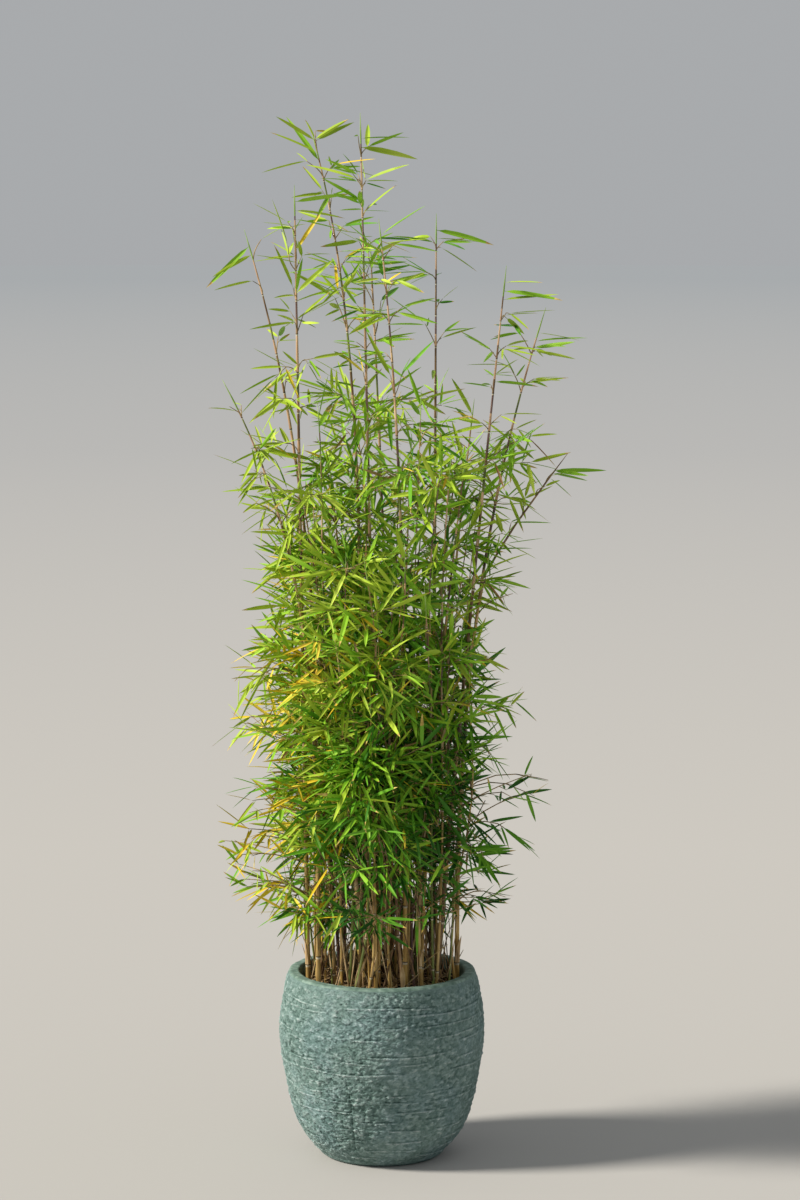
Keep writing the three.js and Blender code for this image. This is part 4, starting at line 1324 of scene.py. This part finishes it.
def leaf_strips(rows):
    """Points (leaf, station, column, xyz) with the columns left, rib, rib, right."""
    root, way, side = rows[:, 0:3], rows[:, 3:6], rows[:, 6:9]
    length, width, droop = rows[:, 9], rows[:, 10], rows[:, 11]
    normal = np.cross(side, way)
    rib = root[:, None] + way[:, None] * (length[:, None] * LEAF_ALONG)[..., None]
    rib[..., 2] -= (droop * length)[:, None] * LEAF_ALONG**2
    half = (width[:, None] / 2 * LEAF_HALF)[..., None]
    lift = normal[:, None] * half * LEAF_FOLD
    left = rib - side[:, None] * half + lift
    right = rib + side[:, None] * half + lift
    return np.stack([left, rib, rib, right], axis=2)


def leaf_faces(count):
    """Faces (leaf, station, half, corner)."""
    stations = len(LEAF_ALONG)
    left = np.arange(stations - 1)[:, None] * 4 + [0, 1, 5, 4]
    one = np.stack([left, left + 2], axis=1)
    return one[None] + (np.arange(count) * stations * 4)[:, None, None, None]


def used_only(points, faces):
    """Leaves out the points that no face uses."""
    used, again = np.unique(faces, return_inverse=True)
    return points[used], again.reshape(faces.shape)


# The greens are lit and shaded copies of one leaf colour: bright and fresh hold painted light, deep
# and shaded hold painted shade. Yellow, orange and dry are the leaves' own colours.
LEAF_TONES = {  # dark, middle and light, the slot, and how rough
    "bright": (["8cab28", "a6c038", "c2d654"], "leaf_bright", 0.5),
    "fresh": (["6c9e20", "8aba2e", "a8d048"], "leaf_bright", 0.5),
    "green": (["4a8219", "629d26", "84ba3e"], "leaf", 0.5),
    "deep": (["306418", "427b22", "5a9234"], "leaf", 0.5),
    "shaded": (["1c4614", "2b5c1c", "3e722a"], "leaf_shaded", 0.5),
    "yellow": (["c0a41c", "dcc02c", "ecd656"], "leaf_bright", 0.5),
    "orange": (["b8861e", "d4a22c", "e2bc48"], "leaf", 0.55),
    "dry": (["80603c", "a38255", "c0a274"], "leaf", 0.7),
}
leaf_rows = np.array(leaf_rows)
leaf_nodes = sorted(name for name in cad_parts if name.startswith("leaves"))
slot_nodes = {
    "leaf_bright": [name for name in leaf_nodes if name[-2:] in [f"{n:02d}" for n in range(1, 11)]],
    "leaf_shaded": [name for name in leaf_nodes if "skirt" in name],
}
slot_nodes["leaf"] = [name for name in leaf_nodes if name not in sum(slot_nodes.values(), [])]
dry_parts = []
for name, (tones, slot, rough) in LEAF_TONES.items():
    rows = leaf_rows[leaf_rows[:, 12] == TINTS.index(name)]
    finish = new_finish("leaf " + name, rough, LEAF_GLOSS)
    mottle = add_noise(finish, 0.09, 2.0)
    fibres = add_noise(finish, 0.0016, 2.0)
    wear(finish, add_ramp(finish, mottle, spread(tones)), add_bump(finish, fibres, 0.0001, 0.2))
    points = leaf_strips(rows).reshape(-1, 3)
    faces = leaf_faces(len(rows))
    is_dry = np.zeros(faces.shape[:2], bool)
    is_dry[rows[:, 13] >= POINT_DRY, -1:] = True
    is_dry[rows[:, 13] == HALF_DRY, -2:] = True
    green = used_only(points, faces[~is_dry].reshape(-1, 4))
    make_piece("leaves_" + name, *green, [finish], slot, slot_nodes[slot])
    dry_parts.append(used_only(points, faces[is_dry].reshape(-1, 4)))

# %% Dry points
dry_tones = spread(["a68a3e", "d2bb6c"], 0.15)
dry_finish = grained_finish("dry point", 0.65, 0.25, dry_tones, (0.01, 3.0))
make_piece("dry_points", *joined(dry_parts), [dry_finish], "leaf")

# %% [markdown]
# The soil is covered with what has fallen: straw-like fibres that curl, and dead leaves. The
# fibres are tubes bent in arcs, laid at random on the soil and one over the other.

# %% Fallen straw
FIBRES = 380
FIBRE_STEPS = 7
FIBRES_RADIUS = 0.143
fibre_lines = []
for _ in range(FIBRES):
    spot = np.array(around(*place_on_soil(FIBRES_RADIUS, grow)))
    turn, bend = grow.uniform(0, 2 * math.pi), grow.gauss(0, 2.2)
    length, rise = grow.uniform(0.015, 0.070), grow.uniform(0, 0.35)
    height = SOIL_HEIGHT + grow.uniform(0.002, 0.012)
    points = []
    for step in range(FIBRE_STEPS + 1):
        arc = math.sin(step / FIBRE_STEPS * math.pi)
        points.append((*spot, height + rise * length * arc * 0.5))
        spot = spot + np.array(around(1, turn)) * length / FIBRE_STEPS
        turn += bend / FIBRE_STEPS
    if max(math.hypot(x, y) for x, y, _ in points) < inner - 0.002:
        fibre_lines.append(points)
fibre_widths = np.array([[grow.uniform(0.0004, 0.0011)] for _ in fibre_lines])
fibre_radii = fibre_widths * np.linspace(1, 0.5, FIBRE_STEPS + 1)
make_piece("fallen_straw", *lay_tubes(fibre_lines, fibre_radii), [straw], "cane")

# %% Fallen leaves
FALLEN = 70
FALLEN_RADIUS = 0.095
fallen = []
for _ in range(FALLEN):
    spot = around(*place_on_soil(FALLEN_RADIUS, grow))
    turn = grow.uniform(0, 2 * math.pi)
    way = Vector((*around(1, turn), grow.uniform(0, 0.25))).normalized()
    side = way.cross(UP).normalized()
    root = Vector((*spot, SOIL_HEIGHT + grow.uniform(0.006, 0.014)))
    length = grow.uniform(0.03, 0.05)
    fallen.append((*root, *way, *side, length, length * 0.13, grow.uniform(0.1, 0.3)))
fallen_xyz = leaf_strips(np.array(fallen)).reshape(-1, 3)
fallen_faces = leaf_faces(FALLEN).reshape(-1, 4)
fallen_tones = spread(["6e5236", "957550", "bda06f"])
fallen_finish = grained_finish("fallen leaf", 0.75, 0.2, fallen_tones, (0.02, 3.0))
make_piece("fallen_leaves", fallen_xyz, fallen_faces, [fallen_finish], "leaf")
